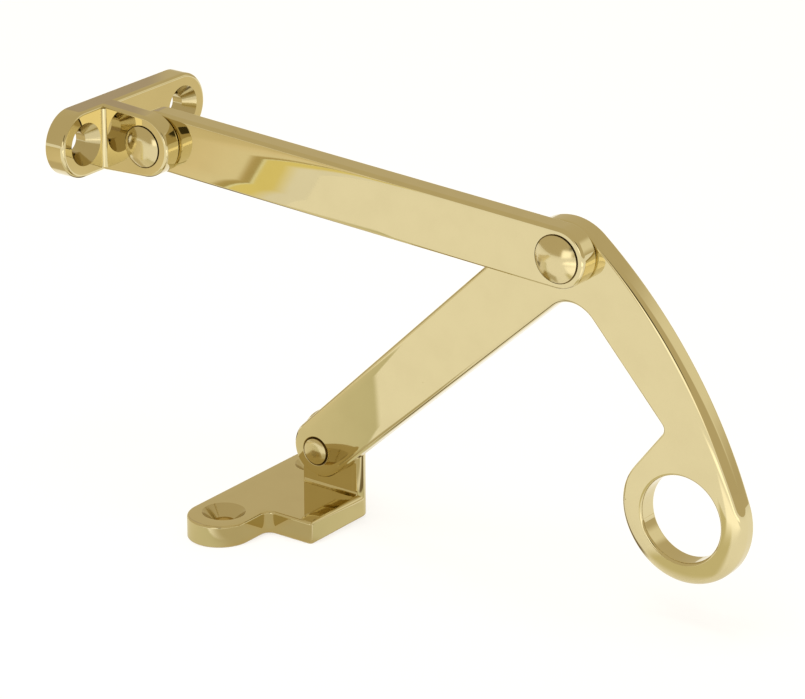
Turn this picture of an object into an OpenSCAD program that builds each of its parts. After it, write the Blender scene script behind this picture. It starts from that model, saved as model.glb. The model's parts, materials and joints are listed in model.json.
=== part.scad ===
// Casement stay in polished brass: a screw plate with a tongue, a flat upper arm, a lever with a
// pull ring and a foot bracket, joined by three rivets that all turn about lines along Y.
// The origin is midway between the wall plate's screw holes, on the face that meets the frame.
// +X runs out from that face along the arm, +Y goes from the front of the stay to its back.

/* [Wall plate] */
// Distance between the wall plate's screw holes
plate_hole_gap = 31.75; // [31:0.25:36]
// Length of the wall plate over its round ends
plate_l = 46.5; // [46:0.5:60]
// Height of the wall plate, which also sets its round ends
plate_h = 14.4; // [13:0.1:18]
// Thickness of the wall plate
plate_t = 4.8; // [3.4:0.1:7]
// Thickness of the tongue
tongue_t = 4.3; // [3:0.1:6]
// Distance from the plate's face to the frame pivot
tongue_reach = 10.3; // [9:0.1:20]
// Radius of the tongue's round end
tongue_end_r = 6.65; // [5.5:0.05:8]
// Distance of the tongue's middle from the middle of the plate
tongue_set = 8; // [5:0.1:8.1]
// Radius where the tongue runs into the plate
tongue_fillet = 1; // [0.4:0.1:1]
// Width of the softened edges round the front of the plate and round the tongue
plate_edge = 0.4; // [0.2:0.1:0.8]

/* [Upper arm] */
// Length of the upper arm between its pivots
arm_len = 101; // [95:0.5:160]
// Width of the upper arm
arm_w = 12.7; // [11:0.1:16]
// Thickness of the upper arm
arm_t = 4.8; // [3.5:0.1:7]
// Softening radius along the edges of the upper arm
arm_edge_r = 0.6; // [0.2:0.1:1.2]
// How far the upper arm slopes down from level, in degrees
arm_slope = 2.4; // [-10:0.1:10]

/* [Lever] */
// Length of the lever between elbow and foot pivots
lever_len = 86; // [75:0.5:92]
// Thickness of the lever
lever_t = 4.8; // [3.5:0.1:7]
// How steeply the lower arm rises from foot to elbow, in degrees
lever_slope = 42.5; // [35:0.5:55]
// Radius of the round toe at the foot pivot
toe_r = 6.3; // [5.6:0.1:7.5]
// How far the foot pivot lies nearer the tip than the toe's middle
toe_set = 0.8; // [0:0.1:1.5]
// Radius of the crown over the elbow
crown_r = 11.5; // [10:0.1:13]
// Distance of the crown's middle from the elbow pivot, towards the toe
crown_set = 5.1; // [3:0.1:6]
// Distance of the crown's middle below the line of the pivots
crown_drop = 2.6; // [1.5:0.1:4]
// Distance of the handle's inner edge from the elbow pivot, towards the toe
handle_set = 4.9; // [4:0.1:7]
// Radius of the crook between lower arm and handle
crook_r = 7; // [3:0.1:9]
// Radius of the handle's long outer curve
handle_curve_r = 111; // [95:1:140]
// Width of the softened edges round both faces of the lever
lever_edge = 0.5; // [0.2:0.1:0.8]

/* [Pull ring] */
// Diameter of the finger hole
ring_hole_d = 18.2; // [14:0.1:20]
// Width of the metal round the finger hole
ring_w = 5.05; // [4:0.05:7]
// Distance of the ring's middle from the elbow pivot, towards the toe
ring_set = 14; // [10:0.1:18]
// Distance of the ring's middle below the line of the pivots
ring_drop = 55.2; // [52:0.1:70]
// Distance of the notch over the ring below the line of the pivots
notch_drop = 39.2; // [36:0.1:40]
// Radius in the notch over the ring
notch_r = 1.6; // [0.8:0.1:2.5]
// Width of the softened rims of the finger hole
ring_rim = 0.6; // [0.2:0.1:1]

/* [Foot bracket] */
// Distance between the foot's screw holes
foot_hole_gap = 31.75; // [30:0.25:33]
// Length of the foot plate over its ears
foot_l = 48; // [46:0.5:60]
// Width of the foot plate across its ears
foot_w = 13.9; // [13:0.1:16]
// Thickness of the foot plate
foot_t = 4.8; // [3.4:0.1:7]
// Distance of the line of screws from the foot pivot
foot_hole_set = 10.3; // [9:0.1:14]
// Height of the foot pivot over the foot plate
foot_pivot_h = 10; // [9:0.1:16]
// Distance from the middle of the foot plate to the front of the lug
lug_set = 7.2; // [6:0.1:8.5]
// Thickness of the lug
lug_t = 4.3; // [3:0.1:6]
// Distance of the lug's left edge from the foot pivot
lug_left = 7.3; // [6.5:0.1:9]
// Distance of the lug's and tab's right edge from the foot pivot
lug_right = 8.1; // [6.5:0.1:10]
// Distance from the middle of the foot plate to the tab's front edge
tab_front = 10; // [6:0.1:12]
// Radius of the corner behind the lug
tab_corner_r = 3.8; // [1:0.1:4.2]
// Radius where the tab runs into the ears
tab_fillet = 2; // [0.8:0.1:3]
// Radius where the lug rises from the foot plate
lug_fillet = 0.8; // [0.3:0.1:1.5]
// Width of the softened edges round the top of the foot plate and round the lug
foot_edge = 0.4; // [0.2:0.1:0.8]

/* [Screw holes] */
// Diameter of the screw holes
screw_d = 4.7; // [3.5:0.1:5.5]
// Diameter of the countersinks at the face
countersink_d = 9.2; // [7:0.1:9.4]
// Angle across the countersinks, in degrees
countersink_angle = 90; // [82:1:100]

/* [Rivets] */
// Diameter of the rivets' shanks
shank_d = 4.8; // [3.5:0.1:5.6]
// Diameter of the frame rivet's head
frame_head_d = 8.7; // [7:0.1:10]
// Height of the frame rivet's head
frame_head_h = 1.3; // [0.8:0.1:2.5]
// Diameter of the elbow rivet's head
elbow_head_d = 9.7; // [7:0.1:11]
// Height of the elbow rivet's head
elbow_head_h = 1.8; // [0.8:0.1:3]
// Diameter of the foot rivet's end in the front of the lever
foot_end_d = 5.6; // [5.6:0.1:6.4]
// Height of the foot rivet's end over the front of the lever
foot_end_h = 0.6; // [0.4:0.1:1.2]
// Diameter of the peened ends behind
tail_d = 7.6; // [6.4:0.1:9]
// Height of the peened ends behind
tail_h = 1; // [0.6:0.1:1.6]
// Straight rim round each domed head
head_rim = 0.2; // [0.1:0.05:0.3]

/* [Fits] */
// Gap between the faces of pieces that turn on each other
joint_gap = 0.15; // [0.1:0.05:0.5]
// Clearance round a shank where a piece turns on it
turn_clear = 0.05; // [0.02:0.01:0.1]
// Clearance round a shank where it is held fast
hold_clear = 0.02; // [0.01:0.01:0.05]
// Clearance round the foot rivet's sunk end
sunk_clear = 0.4; // [0.3:0.05:0.6]

/* [Hidden] */
$fn = 96;

brass = "#c8a850";
rivet_brass = "#b8963f";
// How far a cutting shape runs past the face that it cuts
past = 1;
// How far a shape that fills a corner reaches into what it joins
sink = 0.5;
// How far a straight edge or a long curve is let into the round that it touches, so that they cross cleanly
bite = 0.0005;
// How far the softening of a hollow corner turns on over the straight edges beside it, in degrees
turn_on = 12;

// Front faces of the stack, from the tongue back to the lug
tongue_y = -tongue_set - tongue_t / 2;
arm_y = tongue_y + tongue_t + joint_gap;
lever_y = arm_y + arm_t + joint_gap;
lug_y = lever_y + lever_t + joint_gap;

// Pivots as X and Z
frame_pivot = [plate_t + tongue_reach, 0];
elbow_pivot = frame_pivot + arm_len * [cos(arm_slope), -sin(arm_slope)];
foot_pivot = elbow_pivot - lever_len * [cos(lever_slope), sin(lever_slope)];

// The lever is drawn with its elbow pivot at the origin and its toe along -X, then tilted into place
toe = [toe_set - lever_len, 0];
crown = [-crown_set, -crown_drop];
ring = [-ring_set, -ring_drop];
ring_r = ring_hole_d / 2 + ring_w;
lower_edge = bite - toe_r;
crook = [-handle_set, lower_edge];
notch = [-handle_set, -notch_drop];
notch_end = touch_point(notch, ring, ring_r - bite, -1);
notch_turn = heading(notch, notch_end) + 360;
curve_mid = meeting_point(crown, handle_curve_r - crown_r, ring, handle_curve_r - ring_r);
// Way out from the crown and the toe to the lower arm's upper edge
upper_way = heading(crown, toe) - acos((crown_r - toe_r) / norm(toe - crown));

// The foot bracket
foot_y = lug_y - lug_set;
foot_top = foot_pivot[1] - foot_pivot_h;
foot_floor = foot_top - foot_t;
foot_line = foot_pivot[0] - foot_hole_set;
lug_back = lug_y + lug_t;
foot_right = foot_pivot[0] + lug_right;
lug_r = (lug_left + lug_right) / 2;
lug_mid = foot_pivot + [lug_right - lug_r, 0];
ear_edge = foot_line + foot_w / 2;
ear_reach = (foot_l - foot_w) / 2;
tab_y = foot_y - tab_front;

countersink_depth = (countersink_d - screw_d) / 2 / tan(countersink_angle / 2);

// Angle of the way from one point to another
function heading(a, b) = atan2(b[1] - a[1], b[0] - a[0]);

function unit(angle) = [cos(angle), sin(angle)];

// Where circles about a and b meet, on the left of the way from a to b when side is 1
function meeting_point(a, ra, b, rb, side = -1) =
    let (d = norm(b - a), along = (ra * ra - rb * rb + d * d) / (2 * d))
    a + along * unit(heading(a, b)) + side * sqrt(ra * ra - along * along) * unit(heading(a, b) + 90);

// Point where a straight line from p touches a circle, on the left of the way to its centre when side is 1
function touch_point(p, centre, r, side) =
    let (d = norm(centre - p))
    p + sqrt(d * d - r * r) * unit(heading(p, centre) + side * asin(r / d));

// Where the line that touches two circles on one side leaves the first of them
function shared_edge(a, ra, b, rb, side) =
    a + ra * unit(heading(a, b) + side * acos((ra - rb) / norm(b - a)));

// Outline drawn as X and Z, made a slab between y_front and y_front + thickness
module slab(y_front, thickness)
    translate([0, y_front + thickness, 0])
        rotate([90, 0, 0])
            linear_extrude(thickness) children();

// Straight hole along Y through a slab
module bore(at, r, y_front, thickness)
    slab(y_front - past, thickness + 2 * past)
        translate(at) circle(r);

module at_pivot(pivot) translate([pivot[0], 0, pivot[1]]) children();

// Round-ended bar outline between two points on X, gap apart
module stadium(gap, r) {
    square([gap, 2 * r], center = true);
    for (end = [-1, 1]) translate([end * gap / 2, 0]) circle(r);
}

// Middle of the round of radius r that touches both edges running off from a corner at angles a and b
function corner_mid(corner, a, b, r) = corner + r / sin((b - a) / 2) * unit((a + b) / 2);

// Where that round touches the edge that runs off at one of the angles
function corner_touch(corner, a, b, r, edge) = corner + r / tan((b - a) / 2) * unit(edge);

// Fills an inside corner with such a round
module corner_fill(corner, a, b, r) {
    middle = corner_mid(corner, a, b, r);
    touch_a = corner_touch(corner, a, b, r, a);
    touch_b = corner_touch(corner, a, b, r, b);
    sunk = -sink * unit((a + b) / 2);
    difference() {
        polygon([middle, touch_b, touch_b + sunk, corner + sunk, touch_a + sunk, touch_a]);
        translate(middle) circle(r + bite);
    }
}

// Section that takes off an edge at 45 degrees, where the face runs off along -X and the side along -Y
module edge_section(width)
    polygon([[-width - sink, sink], [sink, -width - sink], [sink, sink]]);

// Softens the straight edge from a to b of a face at Z = 0, with the solid on its left, running on past both
module soften_line(a, b, width, on = [sink, sink])
    translate(b + on[1] * unit(heading(a, b)))
        rotate(heading(a, b))
            rotate([90, 0, -90]) linear_extrude(norm(b - a) + on[0] + on[1]) edge_section(width + bite);

// Softens the edge of a face at Z = 0 that goes round outside a disc, from angle a to angle b
module soften_round(middle, r, a, b, width)
    translate(middle) rotate(a)
        rotate_extrude(angle = b - a) translate([r, 0]) edge_section(width);

// Softens the edge of a face at Z = 0 that goes round inside a hollow corner, from angle a to angle b
module soften_hollow(middle, r, a, b, width)
    translate(middle) rotate(a - turn_on)
        rotate_extrude(angle = b - a + 2 * turn_on)
            translate([r, 0]) mirror([1, 0]) edge_section(width + 2 * bite);

// Sets cutters for a face at Z = 0 at the front and back of a slab
module both_faces(y_front, thickness) {
    translate([0, y_front, 0]) rotate([90, 0, 0]) children();
    translate([0, y_front + thickness, 0]) rotate([90, 0, 0]) mirror([0, 0, 1]) children();
}

// Screw hole along Z from the underside at 0, with its countersink at the top
module screw_hole(thickness) {
    translate([0, 0, -past]) cylinder(h = thickness + 2 * past, d = screw_d);
    translate([0, 0, thickness - countersink_depth])
        cylinder(h = countersink_depth, d1 = screw_d, d2 = countersink_d);
    translate([0, 0, thickness]) cylinder(h = past, d = countersink_d);
}

// Half outline of a domed head above Y = 0, with a straight rim
module head_profile(d, h) {
    dome_h = h - head_rim;
    dome_r = (d * d / 4 + dome_h * dome_h) / (2 * dome_h);
    square([d / 2, head_rim]);
    intersection() {
        translate([0, h - dome_r]) circle(dome_r);
        square([d / 2, h]);
    }
}

// Half outline of an end that tapers into the face at Y = 0 at 45 degrees and stands over it by proud
module sunk_end_profile(r, proud)
    polygon([[0, -proud], [r, -proud], [r, 0], [0, r]]);

// Rivet along +Y from the underside of its head at 0 to the underside of its peened end
module rivet(head_d, head_h, grip)
    rotate([-90, 0, 0])
        rotate_extrude() {
            mirror([0, 1]) head_profile(head_d, head_h);
            square([shank_d / 2, grip]);
            translate([0, grip]) head_profile(tail_d, tail_h);
        }

module tongue_outline() {
    root = [plate_t, plate_h / 2];
    upper = touch_point(root, frame_pivot, tongue_end_r, 1);
    polygon([
        [plate_t / 2, -root[1]], [root[0], -root[1]], [upper[0], -upper[1]],
        upper, root, [plate_t / 2, root[1]]
    ]);
    translate(frame_pivot) circle(tongue_end_r);
}

// Softened edge of the plate's front face, at Z = 0
module plate_edges() {
    r = plate_h / 2;
    end = [plate_l / 2 - r, 0];
    soften_line([-end[0], -r], [end[0], -r], plate_edge);
    soften_round(end, r, -90, 90, plate_edge);
    soften_line([end[0], r], [-end[0], r], plate_edge);
    soften_round(-end, r, 90, 270, plate_edge);
}

// Softened edges of one face of the tongue, at Z = 0
module tongue_edges() {
    root = [plate_t, plate_h / 2];
    upper = touch_point(root, frame_pivot, tongue_end_r, 1);
    turn = heading(frame_pivot, upper);
    soften_line([root[0], -root[1]], [upper[0], -upper[1]], plate_edge);
    soften_round(frame_pivot, tongue_end_r, -turn, turn, plate_edge);
    soften_line(upper, root, plate_edge);
}

module wall_plate() color(brass) {
    // The fillets end short of the softened edges
    fillet_h = plate_h - 4 * plate_edge;
    difference() {
        union() {
            rotate([90, 0, 90]) difference() {
                linear_extrude(plate_t) stadium(plate_l - plate_h, plate_h / 2);
                translate([0, 0, plate_t]) plate_edges();
            }
            difference() {
                slab(tongue_y, tongue_t) tongue_outline();
                both_faces(tongue_y, tongue_t) tongue_edges();
            }
            translate([0, 0, -fillet_h / 2]) linear_extrude(fillet_h) {
                corner_fill([plate_t, tongue_y], -90, 0, tongue_fillet);
                corner_fill([plate_t, tongue_y + tongue_t], 0, 90, tongue_fillet);
            }
        }
        for (end = [-1, 1])
            translate([0, end * plate_hole_gap / 2, 0])
                rotate([0, 90, 0]) screw_hole(plate_t);
        bore(frame_pivot, shank_d / 2 + hold_clear, tongue_y, tongue_t);
    }
}

// Half of the arm's cross section, from its middle line to one softened edge
module arm_half_section() {
    flat_w = arm_w / 2 - arm_edge_r;
    square([flat_w, arm_t]);
    translate([0, arm_edge_r]) square([arm_w / 2, arm_t - 2 * arm_edge_r]);
    for (face = [arm_edge_r, arm_t - arm_edge_r]) translate([flat_w, face]) circle(arm_edge_r);
}

module upper_arm() color(brass)
    difference() {
        translate([frame_pivot[0], arm_y, frame_pivot[1]])
            rotate([0, arm_slope, 0])
                rotate([-90, 0, 0]) {
                    rotate([90, 0, 90]) linear_extrude(arm_len) {
                        arm_half_section();
                        mirror([1, 0]) arm_half_section();
                    }
                    rotate([0, 0, 90]) rotate_extrude(angle = 180) arm_half_section();
                    translate([arm_len, 0, 0])
                        rotate([0, 0, -90]) rotate_extrude(angle = 180) arm_half_section();
                }
        bore(frame_pivot, shank_d / 2 + turn_clear, arm_y, arm_t);
        bore(elbow_pivot, shank_d / 2 + hold_clear, arm_y, arm_t);
    }

// Tapered lower arm from the crown over the elbow to the round toe
module lower_arm_outline() {
    polygon([
        shared_edge(crown, crown_r - bite, toe, toe_r - bite, -1),
        shared_edge(toe, toe_r - bite, crown, crown_r - bite, 1),
        [toe[0], lower_edge], [0, lower_edge]
    ]);
    translate(toe) circle(toe_r);
}

// Upper half of the disc about the crown, between the handle's outer curve and the lower arm's upper edge
module crown_outline()
    translate(crown)
        intersection() {
            circle(crown_r);
            translate([-crown_r - past, 0]) square([2 * (crown_r + past), crown_r + past]);
        }

// Handle between its straight inner edge and its long outer curve, which touches the crown and the ring
module handle_outline() {
    reach = handle_curve_r + crown_r;
    intersection() {
        translate(curve_mid) circle(handle_curve_r - bite);
        polygon([
            [-handle_set, 0], crown, curve_mid + reach * unit(heading(curve_mid, crown)),
            curve_mid + reach * unit(heading(curve_mid, ring)), ring, notch_end, notch
        ]);
    }
    translate(ring) circle(ring_r);
}

module lever_outline()
    difference() {
        union() {
            lower_arm_outline();
            crown_outline();
            handle_outline();
            corner_fill(crook, 180, 270, crook_r);
            corner_fill(notch, 90, notch_turn, notch_r);
        }
        translate(ring) circle(d = ring_hole_d);
    }

// Softened edges of one face of the lever, at Z = 0
module lever_edges() {
    curve_on = sink / handle_curve_r * 180 / PI;
    crook_mid = corner_mid(crook, 180, 270, crook_r);
    notch_mid = corner_mid(notch, 90, notch_turn, notch_r);
    notch_top = corner_touch(notch, 90, notch_turn, notch_r, 90);
    notch_foot = corner_touch(notch, 90, notch_turn, notch_r, notch_turn);
    ring_way = heading(curve_mid, ring);
    crown_way = heading(curve_mid, crown);
    soften_line([toe[0], lower_edge], crook_mid + [0, crook_r], lever_edge, [sink, 0]);
    soften_hollow(crook_mid, crook_r, 0, 90, lever_edge);
    soften_line(crook_mid + [crook_r, 0], notch_top, lever_edge, [0, 0]);
    soften_hollow(notch_mid, notch_r, notch_turn - 270, 0, lever_edge);
    soften_line(notch_foot, notch_end, lever_edge, [0, sink]);
    soften_round(ring, ring_r, heading(ring, notch_end), ring_way + 360, lever_edge);
    soften_round(curve_mid, handle_curve_r, ring_way - curve_on, crown_way + curve_on, lever_edge + bite);
    soften_round(crown, crown_r, crown_way, upper_way, lever_edge);
    soften_line(crown + crown_r * unit(upper_way), toe + toe_r * unit(upper_way), lever_edge);
    soften_round(toe, toe_r, upper_way, 270, lever_edge);
    translate(ring) rotate_extrude()
        translate([ring_hole_d / 2, 0]) mirror([1, 0]) edge_section(ring_rim);
}

module lever() color(brass)
    difference() {
        slab(lever_y, lever_t)
            translate(elbow_pivot) rotate(lever_slope) lever_outline();
        both_faces(lever_y, lever_t)
            translate(elbow_pivot) rotate(lever_slope) lever_edges();
        bore(elbow_pivot, shank_d / 2 + turn_clear, lever_y, lever_t);
        bore(foot_pivot, shank_d / 2 + turn_clear, lever_y, lever_t);
        at_pivot(foot_pivot) translate([0, lever_y, 0])
            rotate([-90, 0, 0]) rotate_extrude() sunk_end_profile(foot_end_d / 2 + sunk_clear, past);
    }

// Foot plate seen from above: two round-ended ears and the tab that carries the lug
module foot_plan() {
    translate([foot_line, foot_y]) rotate(90) stadium(2 * ear_reach, foot_w / 2);
    difference() {
        translate([foot_line, tab_y]) square([foot_right - foot_line, lug_back - tab_y]);
        translate([foot_right, lug_back])
            rotate(180) corner_fill([0, 0], 0, 90, tab_corner_r);
    }
    corner_fill([ear_edge, tab_y], -90, 0, tab_fillet);
    corner_fill([ear_edge, lug_back], 0, 90, tab_fillet);
}

// Softened edge of the foot plate's top, at Z = 0, up to the lug
module foot_edges() {
    front_corner = [ear_edge, tab_y];
    back_corner = [ear_edge, lug_back];
    near = [foot_line, foot_y - ear_reach];
    far = [foot_line, foot_y + ear_reach];
    half = [foot_w / 2, 0];
    soften_line(far - half, near - half, foot_edge);
    soften_round(near, foot_w / 2, 180, 360, foot_edge);
    soften_line(near + half, front_corner - [0, tab_fillet], foot_edge, [sink, 0]);
    soften_hollow(corner_mid(front_corner, -90, 0, tab_fillet), tab_fillet, 90, 180, foot_edge);
    soften_line(front_corner + [tab_fillet, 0], [foot_right, tab_y], foot_edge, [0, sink]);
    soften_line([foot_right, tab_y], [foot_right, lug_y], foot_edge);
    soften_hollow(corner_mid(back_corner, 0, 90, tab_fillet), tab_fillet, 180, 270, foot_edge);
    soften_line(back_corner + [0, tab_fillet], far + half, foot_edge, [0, sink]);
    soften_round(far, foot_w / 2, 0, 180, foot_edge);
}

// Upstand lug as X and Z: straight sides and a round top about the foot pivot's height
module lug_outline() {
    translate([lug_mid[0] - lug_r, foot_floor]) square([2 * lug_r, lug_mid[1] - foot_floor]);
    translate(lug_mid) circle(lug_r);
}

// Softened edges of one face of the lug, at Z = 0
module lug_edges() {
    half = [lug_r, 0];
    soften_line([foot_right, foot_top], lug_mid + half, foot_edge);
    soften_round(lug_mid, lug_r, 0, 180, foot_edge);
    soften_line(lug_mid - half, [lug_mid[0] - lug_r, foot_top], foot_edge);
}

module foot_bracket() color(brass) {
    // The fillet ends short of the softened edges
    fillet_l = 2 * lug_r - 4 * foot_edge;
    difference() {
        union() {
            difference() {
                translate([0, 0, foot_floor]) linear_extrude(foot_t) foot_plan();
                translate([0, 0, foot_top]) foot_edges();
            }
            intersection() {
                difference() {
                    slab(lug_y, lug_t) lug_outline();
                    both_faces(lug_y, lug_t) lug_edges();
                }
                translate([0, 0, foot_floor])
                    linear_extrude(foot_t + foot_pivot_h + lug_r + past) foot_plan();
            }
            translate([lug_mid[0] - fillet_l / 2, 0, 0])
                rotate([90, 0, 90]) linear_extrude(fillet_l)
                    corner_fill([lug_y, foot_top], 90, 180, lug_fillet);
        }
        for (end = [-1, 1])
            translate([foot_line, foot_y + end * foot_hole_gap / 2, foot_floor]) screw_hole(foot_t);
        bore(foot_pivot, shank_d / 2 + hold_clear, lug_y, lug_t);
    }
}

module frame_rivet() color(rivet_brass)
    at_pivot(frame_pivot) translate([0, tongue_y, 0])
        rivet(frame_head_d, frame_head_h, tongue_t + arm_t + 2 * joint_gap);

module elbow_rivet() color(rivet_brass)
    at_pivot(elbow_pivot) translate([0, arm_y, 0])
        rivet(elbow_head_d, elbow_head_h, arm_t + lever_t + 2 * joint_gap);

module foot_rivet() color(rivet_brass)
    at_pivot(foot_pivot) translate([0, lever_y, 0])
        rotate([-90, 0, 0])
            rotate_extrude() {
                mirror([0, 1]) head_profile(foot_end_d, foot_end_h);
                sunk_end_profile(foot_end_d / 2, head_rim);
                square([shank_d / 2, lever_t + joint_gap + lug_t]);
                translate([0, lever_t + joint_gap + lug_t]) head_profile(tail_d, tail_h);
            }

wall_plate();
upper_arm();
lever();
foot_bracket();
frame_rivet();
elbow_rivet();
foot_rivet();
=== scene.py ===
"""Looks of the casement stay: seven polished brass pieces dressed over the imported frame.

Sizes are millimetres until a mesh is written, which is in metres in the frame's own axes:
+X runs out along the upper arm, +Y from the front of the stay to its back, +Z up.
"""

import json
import logging
import math
from collections import defaultdict
from dataclasses import dataclass, field
from enum import Enum

import bmesh
import bpy
import numpy as np
from mathutils import Matrix, Vector
from mathutils.geometry import tessellate_polygon


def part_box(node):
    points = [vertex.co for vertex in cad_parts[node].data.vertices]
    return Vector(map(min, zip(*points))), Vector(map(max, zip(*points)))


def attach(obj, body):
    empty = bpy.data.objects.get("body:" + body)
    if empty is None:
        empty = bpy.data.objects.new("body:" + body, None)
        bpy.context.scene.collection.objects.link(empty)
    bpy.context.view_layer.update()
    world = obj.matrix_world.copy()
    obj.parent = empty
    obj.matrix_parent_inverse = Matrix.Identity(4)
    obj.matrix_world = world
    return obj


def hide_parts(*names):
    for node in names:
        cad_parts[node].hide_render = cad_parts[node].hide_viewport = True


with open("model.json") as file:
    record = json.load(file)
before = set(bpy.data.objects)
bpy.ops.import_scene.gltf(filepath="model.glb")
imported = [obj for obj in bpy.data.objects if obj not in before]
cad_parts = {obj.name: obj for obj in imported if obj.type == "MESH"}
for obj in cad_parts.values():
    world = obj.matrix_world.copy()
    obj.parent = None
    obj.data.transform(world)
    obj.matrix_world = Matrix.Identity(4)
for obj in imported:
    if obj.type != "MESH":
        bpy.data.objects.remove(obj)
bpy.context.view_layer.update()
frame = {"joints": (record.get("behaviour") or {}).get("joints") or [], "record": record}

LOG = logging.getLogger("casement_stay")
MM = 0.001
# Steps over a rounded edge, over the crown beside it, and round a hole or a rivet
ROUND_STEPS = 7
CROWN_STEPS = 6
TURN_STEPS = 96
# Longest steps along an outline, in millimetres, and round one of its arcs, in degrees
LINE_STEP = 3.0
ARC_STEP = 0.8
ARC_TURN = 4.0
# Points of a mesh closer than this, in metres, are one point
WELD = 1e-7
# How far a shape reaches into the one that it joins, and past the one that it cuts
SINK = 0.5
PAST = 1.0
# How far a fillet's ends dip under the faces that it joins, and one face stays inside a flush one
DIP = 0.004
# Creases sharper than this stay sharp, and a flat face is at least this wide and this large
CREASE = math.radians(36)
FLAT_WIDTH = 1.2 * MM
FLAT_AREA = 5 * MM * MM

# Width and depth of the fine groove round a rivet's head, in millimetres
SEAT_GROOVE = 0.25
# Attribute that holds how dull a face is and how far it is darkened, and its values in a countersink and in
# a groove; in a groove the darkening is painted shade
DULL_AND_SHADE = "dull"
SINK_DULL = 0.2
GROOVE_SHADE_AND_DULL = 1.0

Point = np.ndarray
Ring = tuple[float, float]
Colour = tuple[float, float, float]
Tones = tuple[tuple[float, Colour], ...]


class Lie(Enum):
    """How an outline lies in the stay: its two axes, and the way in from its face."""

    UPRIGHT = ((1, 0, 0), (0, 0, 1), (0, 1, 0))
    AGAINST_WALL = ((0, 1, 0), (0, 0, 1), (-1, 0, 0))
    LEVEL = ((1, 0, 0), (0, 1, 0), (0, 0, -1))


class Join(Enum):
    """How one solid is set against another."""

    UNITE = "UNION"
    CUT = "DIFFERENCE"
    KEEP_COMMON = "INTERSECT"


def unit(angle: float) -> Point:
    """Gives the direction at an angle in degrees."""
    return np.array([math.cos(math.radians(angle)), math.sin(math.radians(angle))])


def heading(a: Point, b: Point) -> float:
    """Gives the angle of the way from one point to another, in degrees."""
    return math.degrees(math.atan2(b[1] - a[1], b[0] - a[0]))


def meeting_point(a: Point, a_radius: float, b: Point, b_radius: float) -> Point:
    """Finds where two circles meet, on the right of the way from the first to the second.

    Args:
        a: Middle of the first circle.
        a_radius: Its radius.
        b: Middle of the second circle.
        b_radius: Its radius.

    Returns:
        The point where they meet.
    """
    gap = float(np.linalg.norm(b - a))
    along = (a_radius**2 - b_radius**2 + gap**2) / (2 * gap)
    way = heading(a, b)
    return a + along * unit(way) - math.sqrt(a_radius**2 - along**2) * unit(way + 90)


def touch_point(start: Point, middle: Point, radius: float, side: int) -> Point:
    """Finds where a straight line from a point touches a circle.

    Args:
        start: Point that the line leaves.
        middle: Middle of the circle.
        radius: Its radius.
        side: 1 for the left of the way to the middle, -1 for the right.

    Returns:
        The point of touch.
    """
    gap = float(np.linalg.norm(middle - start))
    lean = math.degrees(math.asin(radius / gap))
    return start + math.sqrt(gap**2 - radius**2) * unit(heading(start, middle) + side * lean)


def mm_box(node: str) -> tuple[Point, Point]:
    """Gives the lowest and highest corners of a node of the frame, in millimetres."""
    low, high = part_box(node)
    return np.array(low) / MM, np.array(high) / MM


def pivot(name: str) -> Point:
    """Gives a joint's place in the frame as X and Z, in millimetres."""
    place = next(joint["pos_m"] for joint in frame["joints"] if joint["name"] == name)
    return np.array([place[0], place[2]]) / MM


def mount(name: str) -> dict:
    """Gives one of the record's mounts."""
    return next(entry for entry in frame["record"]["mounts"] if entry["name"] == name)


@dataclass(frozen=True)
class Edge:
    """How a face falls away to its edge: a flat crown from buffing, then a round."""

    round_r: float = 0.5
    crown_w: float = 0.0
    crown_slope: float = 0.0

    def blended(self, other: "Edge", share: float) -> "Edge":
        """Mixes two edges smoothly.

        Args:
            other: Edge that is reached when the share is 1.
            share: How far along the way is.

        Returns:
            The edge there.
        """
        soft = share * share * (3 - 2 * share)
        return Edge(
            self.round_r + soft * (other.round_r - self.round_r),
            self.crown_w + soft * (other.crown_w - self.crown_w),
            self.crown_slope + soft * (other.crown_slope - self.crown_slope),
        )

    def rings(self) -> list[Ring]:
        """Lists how far in and how deep the edge lies, from the flat face out to the side.

        Returns:
            Pairs of inset and depth.
        """
        lean = math.radians(self.crown_slope)
        start = self.round_r * (1 - math.sin(lean))
        drop = math.tan(lean) * self.crown_w / 2
        rings = []
        for step in range(CROWN_STEPS):
            share = step / CROWN_STEPS
            rings.append((start + self.crown_w * (1 - share), drop * share * share))
        for step in range(ROUND_STEPS + 1):
            angle = lean + (math.pi / 2 - lean) * step / ROUND_STEPS
            depth = drop + self.round_r * (math.cos(lean) - math.cos(angle))
            rings.append((self.round_r * (1 - math.sin(angle)), depth))
        return rings


@dataclass(frozen=True)
class Line:
    """Straight stretch of an outline, with the solid on its left."""

    begin: Point
    end: Point
    edge: Edge
    last_edge: Edge | None = None

    def count(self) -> int:
        """Gives the number of steps along the stretch, which is 1 where the edge stays the same."""
        if self.last_edge in (None, self.edge):
            return 1
        return max(1, math.ceil(float(np.linalg.norm(self.end - self.begin)) / LINE_STEP))

    def at(self, share: float) -> tuple[Point, Point]:
        """Gives the point and the outward direction at a share of the way."""
        way = (self.end - self.begin) / np.linalg.norm(self.end - self.begin)
        return self.begin + share * (self.end - self.begin), np.array([way[1], -way[0]])


@dataclass(frozen=True)
class Arc:
    """Round stretch of an outline, with the solid inside it where its angle grows and outside where not."""

    middle: Point
    radius: float
    start: float
    stop: float
    edge: Edge
    last_edge: Edge | None = None

    def count(self) -> int:
        """Gives the number of steps along the stretch."""
        turn = abs(self.stop - self.start)
        return max(1, math.ceil(turn / ARC_TURN), math.ceil(math.radians(turn) * self.radius / ARC_STEP))

    def at(self, share: float) -> tuple[Point, Point]:
        """Gives the point and the outward direction at a share of the way."""
        way = unit(self.start + share * (self.stop - self.start))
        return self.middle + self.radius * way, way * math.copysign(1, self.stop - self.start)


Stretch = Line | Arc


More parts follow.
